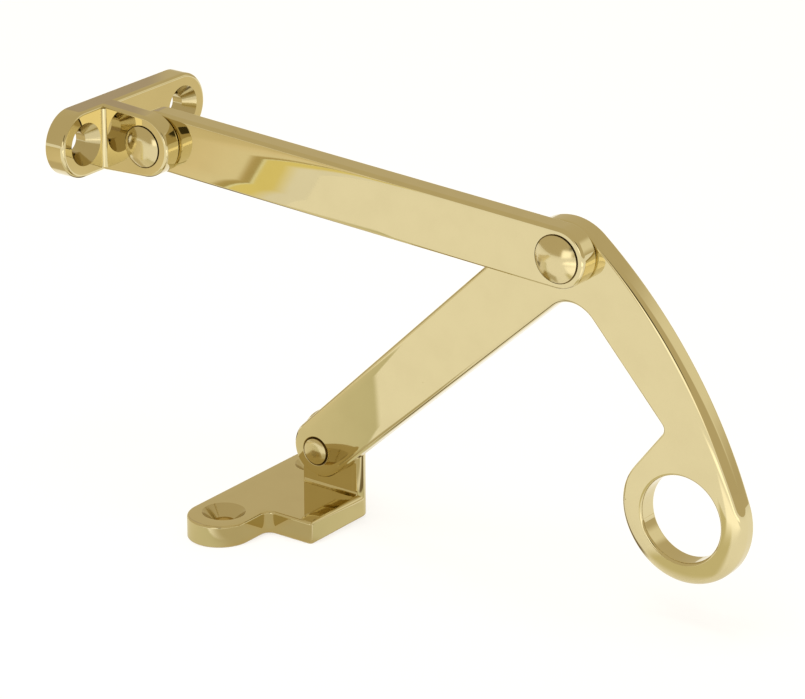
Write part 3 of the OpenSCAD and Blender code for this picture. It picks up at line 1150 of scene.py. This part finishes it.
@dataclass
class WallPlate(Piece):
    """Round-ended screw plate and the tongue that carries the upper arm."""

    plate_t: float = 4.8
    tongue_end_r: float = 6.65
    tongue_fillet: float = 1.0
    shank_hole_r: float = HELD_HOLE_R
    head: RivetHead = FRAME_HEAD
    joint_gap: float = JOINT_GAP
    plate_edge: Edge = Edge(0.8)
    tongue_edge: Edge = Edge(0.7)
    hole_edge: Edge = HOLE_EDGE
    mount_edge: Edge = MOUNT_EDGE

    def build(self, holes: ScrewHoles) -> bpy.types.Object:
        """Builds the plate, sets its tongue on it and drills it.

        Args:
            holes: The screw holes.

        Returns:
            The finished plate.
        """
        low, high = mm_box("wall_plate")
        end_r = (high[2] - low[2]) / 2
        reach = (high[1] - low[1]) / 2 - end_r
        edge = self.plate_edge
        ends = [np.array([side * reach, 0.0]) for side in (-1, 1)]
        outline = [
            Line(ends[0] - [0, end_r], ends[1] - [0, end_r], edge),
            Arc(ends[1], end_r, -90, 90, edge),
            Line(ends[1] + [0, end_r], ends[0] + [0, end_r], edge),
            Arc(ends[0], end_r, 90, 270, edge),
        ]
        plate = Slab(outline, Lie.AGAINST_WALL, -self.plate_t, self.plate_t, self.mount_edge)
        made = shown("wall_plate", plate.mesh("wall_plate"))
        faces = self.tongue_faces()
        joined(made, self.tongue(faces, end_r), Join.UNITE)
        for face, angles in zip(faces, ((-90, 0), (0, 90))):
            corner = np.array([self.plate_t, face])
            section = fillet_section(corner, *angles, self.tongue_fillet)
            height = end_r - edge.round_r
            joined(made, prism("fillet", section, 2, -height, height), Join.UNITE)
        seat(made, pivot("frame_pivot"), faces[0], self.head.diameter)
        holes.drill(made, "wall_screws", self.plate_t, self)
        return self.dress(made, "wall_plate", "wall_plate")

    def tongue_faces(self) -> tuple[float, float]:
        """Gives where the tongue's faces lie on Y, from the arm behind it and the rivet through it."""
        arm_front, rivet_front = (float(mm_box(node)[0][1]) for node in ("upper_arm", "frame_rivet"))
        return rivet_front + self.head.height, arm_front - self.joint_gap

    def tongue(self, faces: tuple[float, float], end_r: float) -> bpy.types.Mesh:
        """Builds the tongue, sunk into the plate.

        Args:
            faces: Where its front and back faces lie.
            end_r: Half the plate's height.

        Returns:
            The tongue.
        """
        at = pivot("frame_pivot")
        height = end_r - DIP
        root, edge = self.plate_t / 2, self.tongue_edge
        upper = touch_point(np.array([self.plate_t, height]), at, self.tongue_end_r, 1)
        lower = upper * [1, -1]
        turn = heading(at, upper)
        corners = [np.array(p) for p in ([root, height], [root, -height], [self.plate_t, -height])]
        outline = [
            Line(corners[0], corners[1], edge),
            Line(corners[1], corners[2], edge),
            Line(corners[2], lower, edge),
            Arc(at, self.tongue_end_r, -turn, turn, edge),
            Line(upper, corners[2] * [1, -1], edge),
            Line(corners[2] * [1, -1], corners[0], edge),
        ]
        thickness = faces[1] - faces[0]
        back = Edge(self.tongue_edge.round_r)
        hole = Hole.softened(at, self.shank_hole_r, thickness, self.hole_edge, self.hole_edge)
        return Slab(outline, Lie.UPRIGHT, faces[0], thickness, back, [hole]).mesh("tongue")


@dataclass
class UpperArm(Piece):
    """Flat bar with round ends between the frame and elbow pivots."""

    width: float = 12.7
    shank_hole_r: float = TURNING_HOLE_R
    head: RivetHead = ELBOW_HEAD
    front_edge: Edge = Edge(0.8, 2.6, 6.5)
    back_edge: Edge = Edge(0.6)
    hole_edge: Edge = HOLE_EDGE

    def build(self) -> bpy.types.Object:
        """Builds the arm.

        Returns:
            The finished arm.
        """
        low, high = mm_box("upper_arm")
        start, end = pivot("frame_pivot"), pivot("elbow_pivot")
        length, half, edge = float(np.linalg.norm(end - start)), self.width / 2, self.front_edge
        near, far = np.zeros(2), np.array([length, 0.0])
        outline = [
            Line(near - [0, half], far - [0, half], edge),
            Arc(far, half, -90, 90, edge),
            Line(far + [0, half], near + [0, half], edge),
            Arc(near, half, 90, 270, edge),
        ]
        thickness = float(high[1] - low[1])
        rim = self.hole_edge
        holes = [Hole.softened(at, self.shank_hole_r, thickness, rim, rim) for at in (near, far)]
        slab = Slab(
            outline,
            Lie.UPRIGHT,
            float(low[1]),
            thickness,
            self.back_edge,
            holes,
            heading(start, end),
            tuple(start),
        )
        made = seat(shown("upper_arm", slab.mesh("upper_arm")), end, float(low[1]), self.head.diameter)
        return self.dress(made, "upper_arm", "upper_arm")


@dataclass
class Lever(Piece):
    """Tapered lower arm, crown over the elbow, curved handle and pull ring, all one casting.

    It is drawn with its elbow pivot at the origin and its toe along -X, then tilted into place.
    """

    toe_r: float = 6.3
    toe_set: float = 0.8
    crown_r: float = 11.5
    crown_set: float = 5.1
    crown_drop: float = 2.6
    handle_set: float = 4.9
    crook_r: float = 7.0
    handle_curve_r: float = 111.0
    ring_w: float = 5.05
    ring_set: float = 14.0
    ring_drop: float = 55.2
    notch_drop: float = 39.2
    notch_r: float = 1.6
    shank_hole_r: float = TURNING_HOLE_R
    sunk_r: float = 3.2
    arm_edge: Edge = Edge(0.8, 2.8, 3.5)
    lower_edge: Edge = Edge(1.3, 2.2, 4)
    toe_edge: Edge = Edge(0.8, 1.2, 4)
    handle_edge: Edge = Edge(0.9, 2.8, 4)
    inner_edge: Edge = Edge(0.6, 2.4, 3)
    dubbed_edge: Edge = Edge(2.2, 3.0, 18)
    ring_hole_edge: Edge = Edge(0.7)
    hole_edge: Edge = HOLE_EDGE
    back_edge: Edge = Edge(0.7)
    # Share of the ring over which its edge grows from the notch's to the dubbed one
    dub_share: float = 0.35
    # Width of the softened rim of the sunk hole at the toe
    sunk_rim: float = 0.1

    def outline(self) -> list[Stretch]:
        """Draws the outline of the lever.

        Returns:
            Its stretches, from the toe along the lower edge and round.
        """
        length = float(np.linalg.norm(pivot("elbow_pivot") - pivot("foot_pivot")))
        toe = np.array([self.toe_set - length, 0.0])
        crown = np.array([-self.crown_set, -self.crown_drop])
        ring = np.array([-self.ring_set, -self.ring_drop])
        ring_r = mount("pull_ring")["dims"]["r_mm"] + self.ring_w
        crook = np.array([-self.handle_set - self.crook_r, -self.toe_r - self.crook_r])
        notch = np.array([-self.handle_set, -self.notch_drop])
        notch_end = touch_point(notch, ring, ring_r, -1)
        half = (heading(notch, notch_end) + 270) / 2
        notch_mid = notch + self.notch_r / math.sin(math.radians(half)) * unit(90 + half)
        notch_reach = self.notch_r / math.tan(math.radians(half))
        notch_top = notch + [0, notch_reach]
        notch_out = notch + notch_reach * unit(heading(notch, notch_end))
        curve = meeting_point(crown, self.handle_curve_r - self.crown_r, ring, self.handle_curve_r - ring_r)
        top = heading(crown, toe) % 360 - math.degrees(
            math.acos((self.crown_r - self.toe_r) / float(np.linalg.norm(toe - crown)))
        )
        arm, lower, inner = self.arm_edge, self.lower_edge, self.inner_edge
        outer, dubbed, tip = self.handle_edge, self.dubbed_edge, self.toe_edge
        ring_in = heading(ring, notch_end) % 360
        ring_out = heading(curve, ring) + 360
        ring_low = ring_in + self.dub_share * (ring_out - ring_in)
        return [
            Line(toe - [0, self.toe_r], crook + [0, self.crook_r], tip, lower),
            Arc(crook, self.crook_r, 90, 0, lower, inner),
            Line(crook + [self.crook_r, 0], notch_top, inner),
            Arc(notch_mid, self.notch_r, 0, heading(notch_mid, notch_out), inner),
            Line(notch_out, notch_end, inner),
            Arc(ring, ring_r, ring_in, ring_low, inner, dubbed),
            Arc(ring, ring_r, ring_low, ring_out, dubbed),
            Arc(curve, self.handle_curve_r, ring_out - 360, heading(curve, crown), dubbed, outer),
            Arc(crown, self.crown_r, heading(curve, crown), top, outer, arm),
            Line(crown + self.crown_r * unit(top), toe + self.toe_r * unit(top), arm, tip),
            Arc(toe, self.toe_r, top, 270, tip),
        ]

    def build(self) -> bpy.types.Object:
        """Builds the lever.

        Returns:
            The finished lever.
        """
        low, high = mm_box("lever")
        thickness = float(high[1] - low[1])
        elbow, foot = pivot("elbow_pivot"), pivot("foot_pivot")
        toe_hole = np.array([-float(np.linalg.norm(elbow - foot)), 0.0])
        sink = self.sunk_r - self.shank_hole_r
        rim = self.hole_edge
        toe_rings = (
            (self.sunk_r + self.sunk_rim, 0.0),
            (self.sunk_r, self.sunk_rim / 2),
            (self.shank_hole_r, sink),
        )
        holes = [
            Hole.softened(
                np.array([-self.ring_set, -self.ring_drop]),
                mount("pull_ring")["dims"]["r_mm"],
                thickness,
                self.ring_hole_edge,
                self.ring_hole_edge,
            ),
            Hole.softened(np.zeros(2), self.shank_hole_r, thickness, rim, rim),
            Hole(toe_hole, (*toe_rings, (self.shank_hole_r, thickness))),
        ]
        slab = Slab(
            self.outline(),
            Lie.UPRIGHT,
            float(low[1]),
            thickness,
            self.back_edge,
            holes,
            heading(foot, elbow),
            tuple(elbow),
        )
        # The sunk rim round the toe's rivet gets painted shade
        made = painted_groove_shade(shown("lever", slab.mesh("lever")), foot, float(low[1]), self.sunk_r)
        return self.dress(made, "lever", "lever")


@dataclass
class FootBracket(Piece):
    """Screw plate with two round ears, a side tab and the lug that the toe turns on."""

    plate_t: float = 4.8
    plate_w: float = 13.9
    plate_l: float = 48.0
    tab_front: float = 10.0
    tab_corner_r: float = 3.8
    tab_fillet: float = 2.0
    corner_r: float = 0.7
    lug_left: float = 7.3
    lug_t: float = 4.3
    lug_fillet: float = 0.8
    shank_hole_r: float = HELD_HOLE_R
    joint_gap: float = JOINT_GAP
    hole_edge: Edge = HOLE_EDGE
    plain_edge: Edge = Edge(0.01)
    ear_edge: Edge = Edge(0.5, 2.0, 4)
    tab_edge: Edge = Edge(0.6, 1.5, 3)
    nose_edge: Edge = Edge(0.6)
    side_edge: Edge = Edge(1.2, 1.0, 4)
    lug_edge: Edge = Edge(0.5, 1.5, 3)
    lug_side: Edge = Edge(1.9, 0.5, 3)
    mount_edge: Edge = MOUNT_EDGE

    def plan(self, edges: tuple[Edge, Edge, Edge, Edge], right: float, back: float) -> list[Stretch]:
        """Draws the plate from above.

        Args:
            edges: Edges of the ears, the tab's back, its front and its right side.
            right: Where the tab ends on X.
            back: Where the lug and tab end on Y.

        Returns:
            The stretches of the outline.
        """
        ear, tab, tip, side = edges
        line, middle = (value / MM for value in mount("foot_screws")["pos_m"][:2])
        half, reach = self.plate_w / 2, (self.plate_l - self.plate_w) / 2
        inner, front, fillet, corner = line + half, middle - self.tab_front, self.tab_fillet, self.corner_r
        near, far = np.array([line, middle - reach]), np.array([line, middle + reach])
        front_mid = np.array([inner + fillet, front - fillet])
        back_mid = np.array([inner + fillet, back + fillet])
        nose = np.array([right - corner, front + corner])
        heel = np.array([right - self.tab_corner_r, back - self.tab_corner_r])
        return [
            Line(far - [half, 0], near - [half, 0], ear),
            Arc(near, half, 180, 360, ear),
            Line(near + [half, 0], front_mid - [fillet, 0], ear),
            Arc(front_mid, fillet, 180, 90, ear, tip),
            Line(front_mid + [0, fillet], nose - [0, corner], tip),
            Arc(nose, corner, -90, 0, tip),
            Line(nose + [corner, 0], heel + [self.tab_corner_r, 0], tip, side),
            Arc(heel, self.tab_corner_r, 0, 90, side, tab),
            Line(heel + [0, self.tab_corner_r], back_mid - [0, fillet], tab),
            Arc(back_mid, fillet, 270, 180, tab, ear),
            Line(back_mid - [fillet, 0], far + [half, 0], ear),
            Arc(far, half, 0, 180, ear),
        ]

    def lug(self, faces: tuple[float, float], floor: float, right: float) -> bpy.types.Mesh:
        """Builds the lug with its round top.

        Args:
            faces: Where its front and back faces lie on Y.
            floor: Underside of the plate on Z.
            right: Where it ends on X.

        Returns:
            The lug.
        """
        at, edge, side = pivot("foot_pivot"), self.lug_edge, self.lug_side
        left, end = at[0] - self.lug_left, right - DIP
        radius = (end - left) / 2
        middle = np.array([left + radius, at[1]])
        low = floor + SINK
        corners = np.array([left, low]), np.array([end, low])
        outline = [
            Line(corners[0], corners[1], edge),
            Line(corners[1], middle + [radius, 0], side),
            Arc(middle, radius, 0, 180, side, edge),
            Line(middle - [radius, 0], corners[0], edge),
        ]
        thickness = faces[1] - faces[0]
        hole = Hole.softened(at, self.shank_hole_r, thickness, self.hole_edge, self.hole_edge)
        back = Edge(self.lug_edge.round_r)
        return Slab(outline, Lie.UPRIGHT, faces[0], thickness, back, [hole]).mesh("lug")

    def build(self, holes: ScrewHoles) -> bpy.types.Object:
        """Builds the plate, sets its lug on it and drills it.

        Args:
            holes: The screw holes.

        Returns:
            The finished bracket.
        """
        low, high = mm_box("foot_bracket")
        right, floor = float(high[0]), float(low[2])
        top = floor + self.plate_t
        front = float(mm_box("lever")[1][1]) + self.joint_gap
        faces = front, front + self.lug_t
        edges = self.ear_edge, self.tab_edge, self.nose_edge, self.side_edge
        plan = self.plan(edges, right, faces[1])
        plate = Slab(plan, Lie.LEVEL, -top, self.plate_t, self.mount_edge)
        made = shown("foot_bracket", plate.mesh("foot_bracket"))
        lug = shown("lug", self.lug((faces[0], faces[1] - DIP), floor, right))
        plain, height = self.plain_edge, float(high[2]) - floor + 2 * PAST
        around = self.plan((plain,) * 4, right - 2 * DIP, faces[1] - 2 * DIP)
        tall = Slab(around, Lie.LEVEL, -float(high[2]) - PAST, height, plain)
        joined(lug, tall.mesh("tall"), Join.KEEP_COMMON)
        joined(made, lug.data.copy(), Join.UNITE)
        bpy.data.objects.remove(lug)
        section = fillet_section(np.array([faces[0], top]), 90, 180, self.lug_fillet)
        left = float(pivot("foot_pivot")[0]) - self.lug_left
        joined(made, prism("fillet", section, 0, left + PAST / 2, right - PAST), Join.UNITE)
        holes.drill(made, "foot_screws", self.plate_t, self)
        return self.dress(made, "foot_bracket", "foot")


@dataclass
class Rivets(Piece):
    """The three rivets that the stay turns on."""

    shank_d: float = 4.8
    tail_d: float = 7.6
    tail_h: float = 1.0
    rim: float = 0.2

    def build(
        self, tree: RivetTree, node: str, body: str, joint: str, head: RivetHead
    ) -> bpy.types.Object:
        """Builds one rivet.

        Args:
            tree: Tree that turns rivets.
            node: Node that it replaces.
            body: Body that it rides on.
            joint: Joint whose pivot it is.
            head: Size of its head.

        Returns:
            The finished rivet.
        """
        low, high = mm_box(node)
        at = pivot(joint)
        under = float(low[1]) + head.height + head.sunk
        values = {
            "Head Diameter": head.diameter * MM,
            "Dome Height": (head.height - self.rim) * MM,
            "Rim": (self.rim + head.sunk) * MM,
            "Shank Diameter": self.shank_d * MM,
            "Grip": (float(high[1]) - self.tail_h - under) * MM,
            "Tail Diameter": self.tail_d * MM,
            "Tail Dome Height": (self.tail_h - self.rim) * MM,
            "Tail Rim": self.rim * MM,
            "Fullness": head.fullness,
            "Hammering": head.hammering * MM,
            "Place": Vector((at[0], under, at[1])) * MM,
            "Finish": self.material,
        }
        made = tree.grow(shown(node, bpy.data.meshes.new(node)), values)
        return self.dress(made, node, body)


def plain(red: float, green: float, blue: float) -> Tones:
    """Gives one tone all over."""
    return ((0.0, (red, green, blue)),)


@dataclass(frozen=True)
class Card:
    """A sheet that only the metal sees: its middle over the floor, its size, and the tones across it.

    It lies level, is tilted about its length, then turned about Z. Soft is how wide its borders fade.
    """

    name: str
    middle: tuple[float, float, float]
    size: tuple[float, float]
    tones: Tones
    turn: float = 0.0
    tilt: float = 0.0
    soft: tuple[float, float] = (0.0, 0.0)
    glow: float = 1.0

    def material(self) -> bpy.types.Material:
        """Builds the card's tones and fading borders.

        Returns:
            The material.
        """
        made = bpy.data.materials.new(self.name)
        made.use_nodes = True
        made.node_tree.nodes.clear()
        graph = Graph(made.node_tree)
        place = graph.node("ShaderNodeUVMap", {"uv_map": self.name}).outputs[0]
        parts = graph.node("ShaderNodeSeparateXYZ", {}, {0: place}).outputs
        shares = [Value(graph, parts[axis]) for axis in "XY"]
        colour = graph.ramp(shares[1], self.tones)
        surface = graph.node("ShaderNodeEmission", {}, {"Color": colour, "Strength": self.glow})
        for share, length, soft in zip(shares, self.size, self.soft):
            if soft:
                inside = (0.5 - (share - 0.5).math("ABSOLUTE")) * length
                clear = graph.node("ShaderNodeBsdfTransparent")
                sockets = {0: inside.above(0, soft), 1: clear.outputs[0], 2: surface.outputs[0]}
                surface = graph.node("ShaderNodeMixShader", {}, sockets)
        graph.node("ShaderNodeOutputMaterial", {}, {"Surface": surface.outputs[0]})
        return made

    def build(self, level: float) -> bpy.types.Object:
        """Sets the card in the studio.

        Args:
            level: Height that its middle is measured from.

        Returns:
            The card.
        """
        half_w, half_h = self.size[0] / 2, self.size[1] / 2
        corners = [(-half_w, -half_h, 0), (half_w, -half_h, 0), (half_w, half_h, 0), (-half_w, half_h, 0)]
        turned = Matrix.Rotation(math.radians(self.turn), 4, "Z")
        turned = turned @ Matrix.Rotation(math.radians(self.tilt), 4, "X")
        lifted = Matrix.Translation(self.middle) @ turned
        placed = Matrix.Scale(MM, 4) @ Matrix.Translation((0, 0, level)) @ lifted
        mesh = bpy.data.meshes.new(self.name)
        mesh.from_pydata([placed @ Vector(corner) for corner in corners], [], [(0, 1, 2, 3)])
        spread = mesh.uv_layers.new(name=self.name)
        for corner, share in zip(spread.data, ((0, 0), (1, 0), (1, 1), (0, 1))):
            corner.uv = share
        mesh.materials.append(self.material())
        card = shown(self.name, mesh)
        card.visible_camera = False
        card.visible_diffuse = False
        card.visible_shadow = False
        return card


@dataclass
class Studio:
    """Pale floor, soft light, cards for the metal to mirror, and the camera."""

    camera_at: tuple[float, float, float] = (526.9, -614.5, 265.0)
    camera_way: tuple[float, float, float] = (-0.5517, 0.7497, -0.3654)
    photo_w: int = 805
    focal_px: float = 4013.3
    sensor_mm: float = 36.0
    clip_m: tuple[float, float] = (0.01, 100.0)
    floor_mm: float = 12000.0
    floor_glow: float = 0.79
    floor_colour: float = 0.3
    shade_reach: float = 60.0
    shade_colour: Colour = (0.36, 0.25, 0.12)
    shade_samples: int = 4
    mirror_shade: tuple[float, float] = (0.25, 0.95)
    view_shade: tuple[float, float] = (0.04, 0.4)
    room_colour: Colour = (0.63, 0.545, 0.37)
    lamp_watts: float = 3.0
    lamp_mm: float = 600.0
    lamp_at: tuple[float, float, float] = (0.0, -100.0, 800.0)
    card_lift: float = 0.02
    # Tones across the painted shadow card that the lower arm mirrors, from its sharp edge out: the stay's
    # shadow on the floor
    lever_shadow_tones: Tones = ((0.0, (0.71, 0.68, 0.5)), (0.3, (0.84, 0.78, 0.6)), (1.0, (0.9, 0.84, 0.68)))
    # Tones of the band that the upper arm mirrors: pale, gold, a bright line, dark, then tan
    band_tones: Tones = (
        (0.0, (1.0, 0.98, 0.95)),
        (0.05, (1.0, 0.98, 0.95)),
        (0.088, (0.95, 0.83, 0.36)),
        (0.133, (0.95, 0.83, 0.36)),
        (0.136, (1.0, 0.99, 0.75)),
        (0.142, (1.0, 0.99, 0.75)),
        (0.1445, (0.52, 0.42, 0.19)),
        (0.163, (0.6, 0.48, 0.24)),
        (0.18, (0.95, 0.87, 0.66)),
        (0.28, (0.92, 0.8, 0.57)),
        (0.36, (0.82, 0.71, 0.47)),
        (1.0, (0.72, 0.61, 0.38)),
    )

    def light_path(self, graph: Graph, *kinds: str) -> Value:
        """Adds the share of rays of some kinds.

        Args:
            graph: Tree of a material or of the world.
            kinds: Names of the kinds.

        Returns:
            1 for those rays and 0 for others.
        """
        path = graph.node("ShaderNodeLightPath").outputs
        share = Value(graph, path[kinds[0]])
        for kind in kinds[1:]:
            share = share.math("MAXIMUM", Value(graph, path[kind]))
        return share

    def floor_level(self) -> float:
        """Gives the height of the floor, in millimetres."""
        return float(mm_box("foot_bracket")[0][2])

    def build_floor(self) -> bpy.types.Object:
        """Lays the floor under the foot.

        Returns:
            The floor.
        """
        mesh = bpy.data.meshes.new("floor")
        half, level = self.floor_mm * MM / 2, self.floor_level() * MM
        corners = [(-half, -half, level), (half, -half, level), (half, half, level), (-half, half, level)]
        mesh.from_pydata(corners, [], [(0, 1, 2, 3)])
        made = bpy.data.materials.new("pale_floor")
        made.use_nodes = True
        made.node_tree.nodes.clear()
        graph = Graph(made.node_tree)
        seen = self.light_path(graph, "Is Camera Ray", "Is Glossy Ray", "Is Transmission Ray")
        mirrored = self.light_path(graph, "Is Glossy Ray")
        reach = {"Distance": self.shade_reach * MM}
        free = graph.value("ShaderNodeAmbientOcclusion", "AO", {"samples": self.shade_samples}, reach)
        in_view, in_mirror = free.above(*self.view_shade), free.above(*self.mirror_shade)
        lit = in_view + mirrored * (in_mirror - in_view)
        tone = graph.ramp(lit, ((0.0, self.shade_colour), (1.0, (1.0, 1.0, 1.0))))
        paint = graph.node("ShaderNodeBsdfDiffuse", {}, {"Color": (*[self.floor_colour] * 3, 1)})
        glow = graph.node("ShaderNodeEmission", {}, {"Color": tone, "Strength": seen * self.floor_glow})
        both = graph.node("ShaderNodeAddShader", {}, {0: paint.outputs[0], 1: glow.outputs[0]})
        graph.node("ShaderNodeOutputMaterial", {}, {"Surface": both.outputs[0]})
        mesh.materials.append(made)
        floor = shown("floor", mesh)
        return floor

    def build_world(self) -> None:
        """Sets a room that is a warm grey all round over the floor."""
        world = bpy.data.worlds.new("studio")
        world.use_nodes = True
        world.node_tree.nodes.clear()
        graph = Graph(world.node_tree)
        sky = graph.node("ShaderNodeBackground", {}, {"Color": (*self.room_colour, 1), "Strength": 1.0})
        graph.node("ShaderNodeOutputWorld", {}, {"Surface": sky.outputs[0]})
        bpy.context.scene.world = world

    def build_lamp(self) -> None:
        """Hangs one wide soft lamp over the stay, for the shadow on the floor."""
        lamp = bpy.data.lights.new("soft_lamp", "AREA")
        lamp.shape = "DISK"
        lamp.size = self.lamp_mm * MM
        lamp.energy = self.lamp_watts
        hung = bpy.data.objects.new("soft_lamp", lamp)
        hung.location = Vector(self.lamp_at) * MM
        hung.visible_glossy = False
        bpy.context.scene.collection.objects.link(hung)

    def build_cards(self) -> None:
        """Lays and stands the cards round the stay, each a little over the one before."""
        white = plain(1.0, 0.98, 0.95)
        cards = (
            Card("bright_paper", (235, -200, 0), (220, 150), white, 30, soft=(30, 30), glow=1.7),
            Card("front_light", (250, -600, 140), (340, 280), white, tilt=90, soft=(80, 80), glow=1.6),
            Card("back_light", (430, 420, 250), (560, 340), plain(0.95, 0.9, 0.76), -37, 90, (120, 120)),
            Card("camera_shade", (430, -640, 377), (260, 320), plain(0.07, 0.06, 0.035), 36, 70, (20, 20)),
            Card("plate_shade", (-108, 85, 127), (104, 90), plain(0.5, 0.42, 0.34), tilt=90, soft=(8, 20)),
            Card("arm_shade", (-5, 15, 0), (80, 90), plain(0.2, 0.16, 0.1), soft=(12, 12)),
            Card("lever_shade", (92, 2, 0), (66, 20), plain(0.22, 0.17, 0.1), soft=(8, 5)),
            Card("back_tan", (140, 190, 0), (240, 140), plain(0.83, 0.73, 0.5), soft=(25, 25)),
            Card("left_tan", (-60, -40, 0), (80, 80), plain(0.66, 0.56, 0.36), soft=(15, 15)),
            # Painted shadow of the stay on the floor, mirrored in the lower arm
            Card("lever_tan", (10.9, -29.8, 0), (160, 60), self.lever_shadow_tones, 51.8, soft=(20, 1.5)),
            Card("foot_shade", (50, -18, 0), (28, 18), plain(0.6, 0.45, 0.2), soft=(5, 5)),
            # Painted shadow under the stay, mirrored in the bottom of the elbow rivet's dome
            Card("elbow_tan", (66, -25, 0), (44, 34), plain(0.6, 0.53, 0.36), soft=(8, 8)),
            Card("arm_band", (-240.6, -363.4, 0), (721, 120), self.band_tones, 62.5, soft=(20, 0.0)),
            Card("ring_shade", (136, -38, 0), (34, 70), plain(0.75, 0.69, 0.46), soft=(6, 8)),
            Card("ring_glint", (178, -98, 0), (92, 130), white, soft=(6, 45), glow=1.45),
        )
        for order, card in enumerate(cards, 1):
            card.build(self.floor_level() + order * self.card_lift)

    def build_camera(self) -> None:
        """Sets the camera where the photograph was taken from."""
        lens = bpy.data.cameras.new("camera")
        lens.sensor_width = self.sensor_mm
        lens.lens = self.focal_px * self.sensor_mm / self.photo_w
        lens.clip_start, lens.clip_end = self.clip_m
        camera = bpy.data.objects.new("camera", lens)
        camera.location = Vector(self.camera_at) * MM
        camera.rotation_euler = Vector(self.camera_way).to_track_quat("-Z", "Y").to_euler()
        bpy.context.scene.collection.objects.link(camera)
        bpy.context.scene.camera = camera

    def build(self) -> None:
        """Builds the whole studio."""
        bpy.context.scene.view_settings.view_transform = "Standard"
        self.build_camera()
        self.build_world()
        self.build_floor()
        self.build_lamp()
        self.build_cards()


def main() -> None:
    """Builds the studio and dresses each piece of the stay."""
    logging.basicConfig(level=logging.INFO, format="%(name)s: %(message)s")
    Studio().build()
    cast = Brass("polished_brass", "polished_brass", (0.69, 0.6, 0.34), (0.24, 0.16, 0.05))
    turned = Brass("rivet_brass", "rivet_brass", (0.68, 0.585, 0.325), (0.24, 0.16, 0.05), roughness=0.15)
    cast_material, turned_material = cast.material(), turned.material()
    holes = ScrewHoles(ScrewHoleTree())
    WallPlate(cast, cast_material).build(holes)
    UpperArm(cast, cast_material).build()
    Lever(cast, cast_material).build()
    FootBracket(cast, cast_material).build(holes)
    rivets, tree = Rivets(turned, turned_material), RivetTree()
    rivets.build(tree, "frame_rivet", "wall_plate", "frame_pivot", FRAME_HEAD)
    rivets.build(tree, "elbow_rivet", "upper_arm", "elbow_pivot", ELBOW_HEAD)
    rivets.build(tree, "foot_rivet", "foot", "foot_pivot", FOOT_END)


if __name__ == "__main__":
    main()
